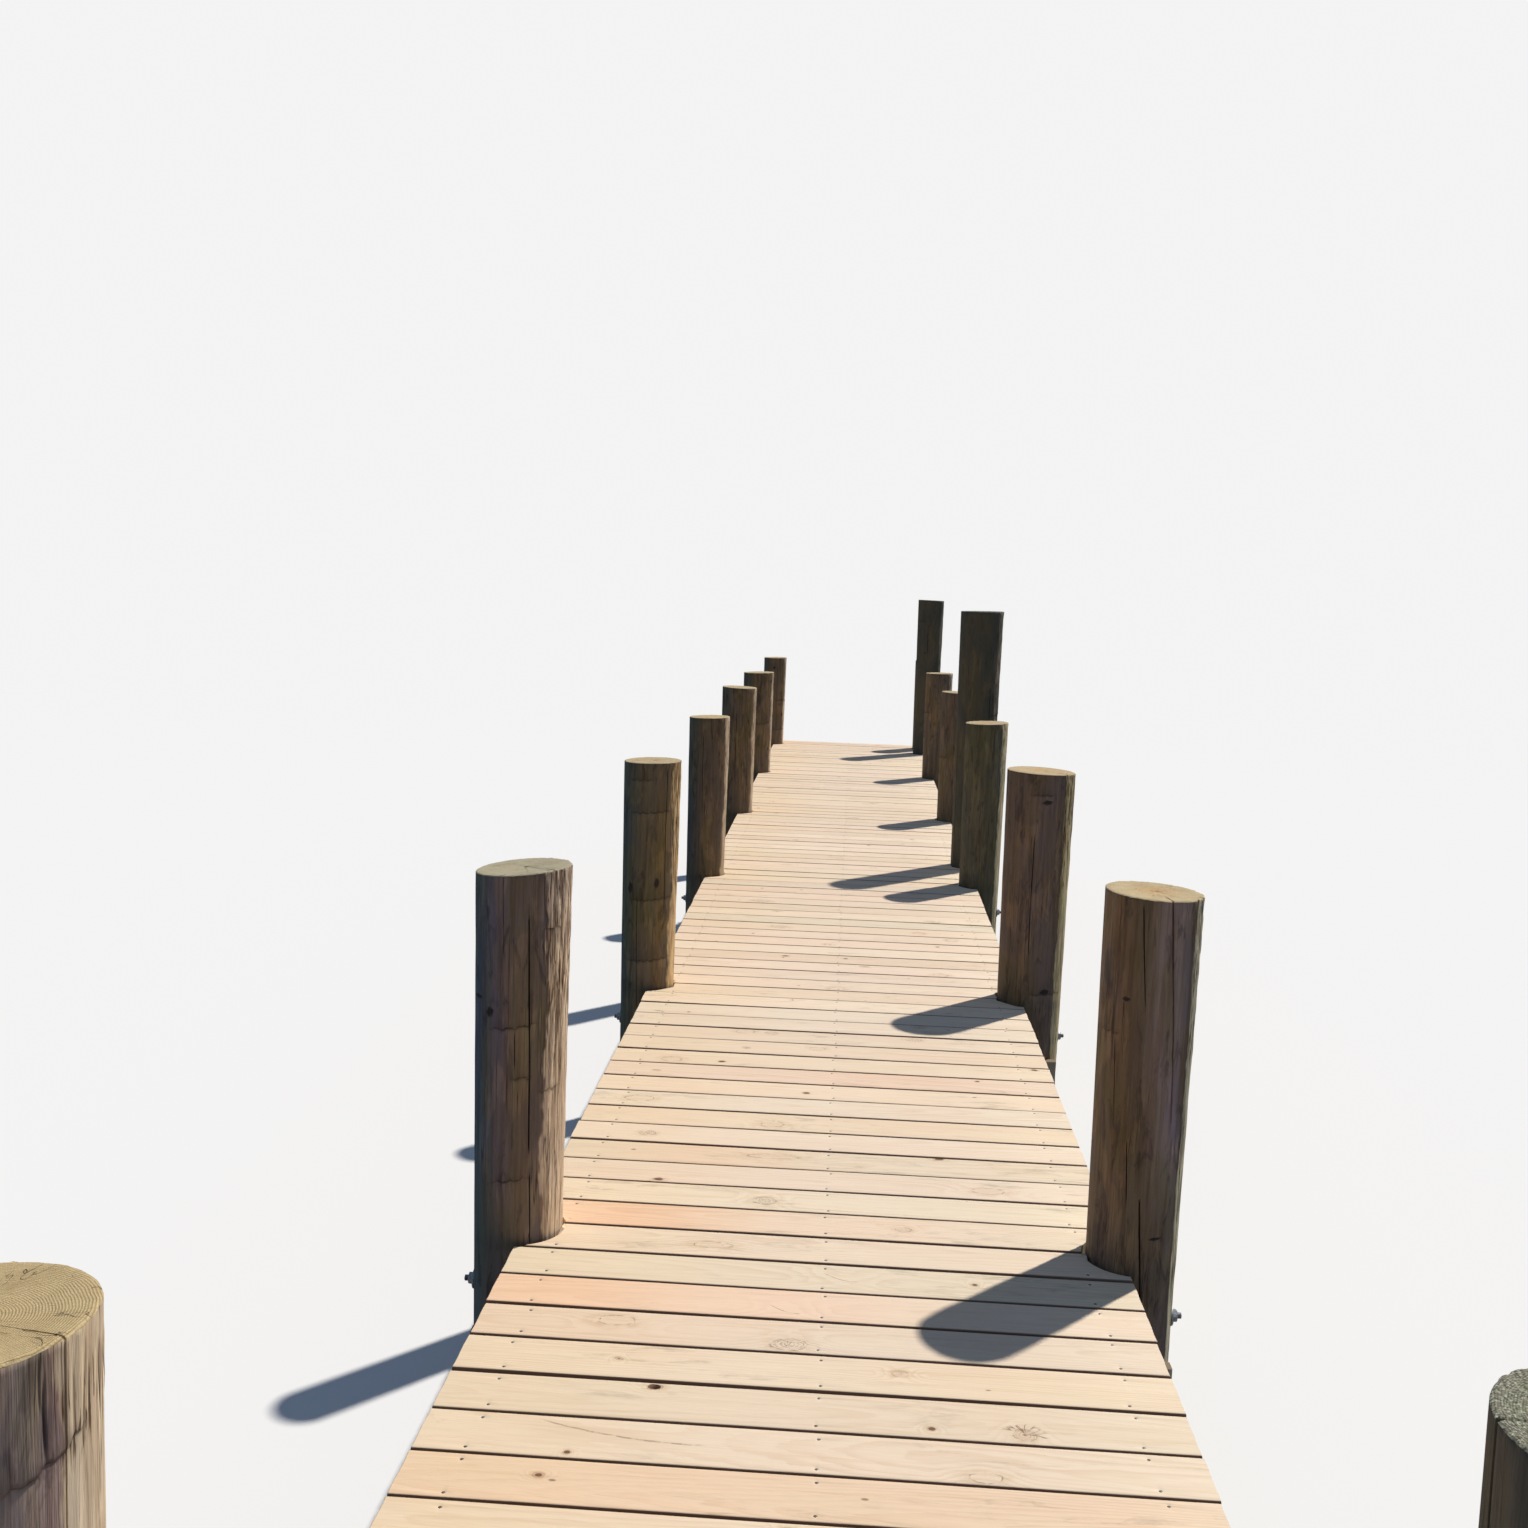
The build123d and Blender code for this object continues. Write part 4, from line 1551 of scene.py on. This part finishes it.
def build_camera():
    """The photograph's view: over the walkway, a little down and to the right."""
    run = cos(camera_pitch)
    ahead = Vector((-sin(camera_yaw) * run, cos(camera_yaw) * run, -sin(camera_pitch)))
    level = Vector((cos(camera_yaw), sin(camera_yaw), 0))
    down = ahead.cross(level)
    right = level * cos(camera_roll) - down * sin(camera_roll)
    down = level * sin(camera_roll) + down * cos(camera_roll)
    data = bpy.data.cameras.new("camera")
    data.sensor_width = sensor_width
    data.lens = sensor_width * focal_pixels / photo_width
    data.clip_end = sight_length
    camera = bpy.data.objects.new("camera", data)
    turn = Matrix((right, -down, -ahead)).transposed().to_4x4()
    camera.matrix_world = Matrix.Translation(camera_place) @ turn
    bpy.context.scene.collection.objects.link(camera)
    bpy.context.scene.camera = camera


def build_stage():
    """The floor, the pale surroundings and the key light."""
    scene = bpy.context.scene
    mesh = bpy.data.meshes.new("floor")
    corners = [(x * floor_half, y * floor_half, 0) for x, y in ((-1, -1), (1, -1), (1, 1), (-1, 1))]
    mesh.from_pydata(corners, [], [(0, 1, 2, 3)])
    mesh.materials.append(plain_floor())
    floor = bpy.data.objects.new("floor", mesh)
    scene.collection.objects.link(floor)
    studio = Finish(bpy.data.worlds.new("studio"))
    seen = studio.node("ShaderNodeLightPath", {}, "Is Camera Ray")
    soft = studio.node("ShaderNodeBackground", {"Color": (*sky_light, 1.0)})
    plain = studio.node("ShaderNodeBackground", {"Color": (*backdrop_colour, 1.0)})
    both = studio.node("ShaderNodeMixShader", {0: seen, 1: soft, 2: plain})
    scene.world = studio.close(both, "ShaderNodeOutputWorld")
    lamp = bpy.data.lights.new("key", "SUN")
    lamp.energy = sun_strength
    lamp.angle = sun_width
    lamp.color = sun_colour
    key = bpy.data.objects.new("key", lamp)
    run = cos(sun_height)
    towards = Vector((sin(sun_bearing) * run, cos(sun_bearing) * run, sin(sun_height)))
    key.rotation_mode = "QUATERNION"
    key.rotation_quaternion = towards.to_track_quat("Z", "Y")
    scene.collection.objects.link(key)
    scene.view_settings.view_transform = "Standard"


finishes = {
    "deck_wood": sawn_wood("deck_wood", aged=False),
    "frame_wood": sawn_wood("frame_wood", aged=True),
    "pile_wood": pile_wood("pile_wood", old=False),
    "old_pile_wood": pile_wood("old_pile_wood", old=True),
    "pile_end_grain": end_grain(
        "pile_end_grain", (0.78, 0.62, 0.365), (0.48, 0.33, 0.16), (0.80, 0.42, 0.14), False
    ),
    "old_end_grain": end_grain(
        "old_end_grain", (0.30, 0.29, 0.25), (0.12, 0.115, 0.10), (0.22, 0.21, 0.16), True
    ),
    "galvanised_steel": zinc_steel("galvanised_steel", dull=False),
    "nail_steel": zinc_steel("nail_steel", dull=True),
}
bents = [Bent(number) for number in range(1, bay_count + 2)]
build_camera()
build_stage()
build_deck(finishes)
build_stringers(finishes)
build_caps(finishes, bents)
build_piles(finishes, bents)
build_bolts(finishes, bents)
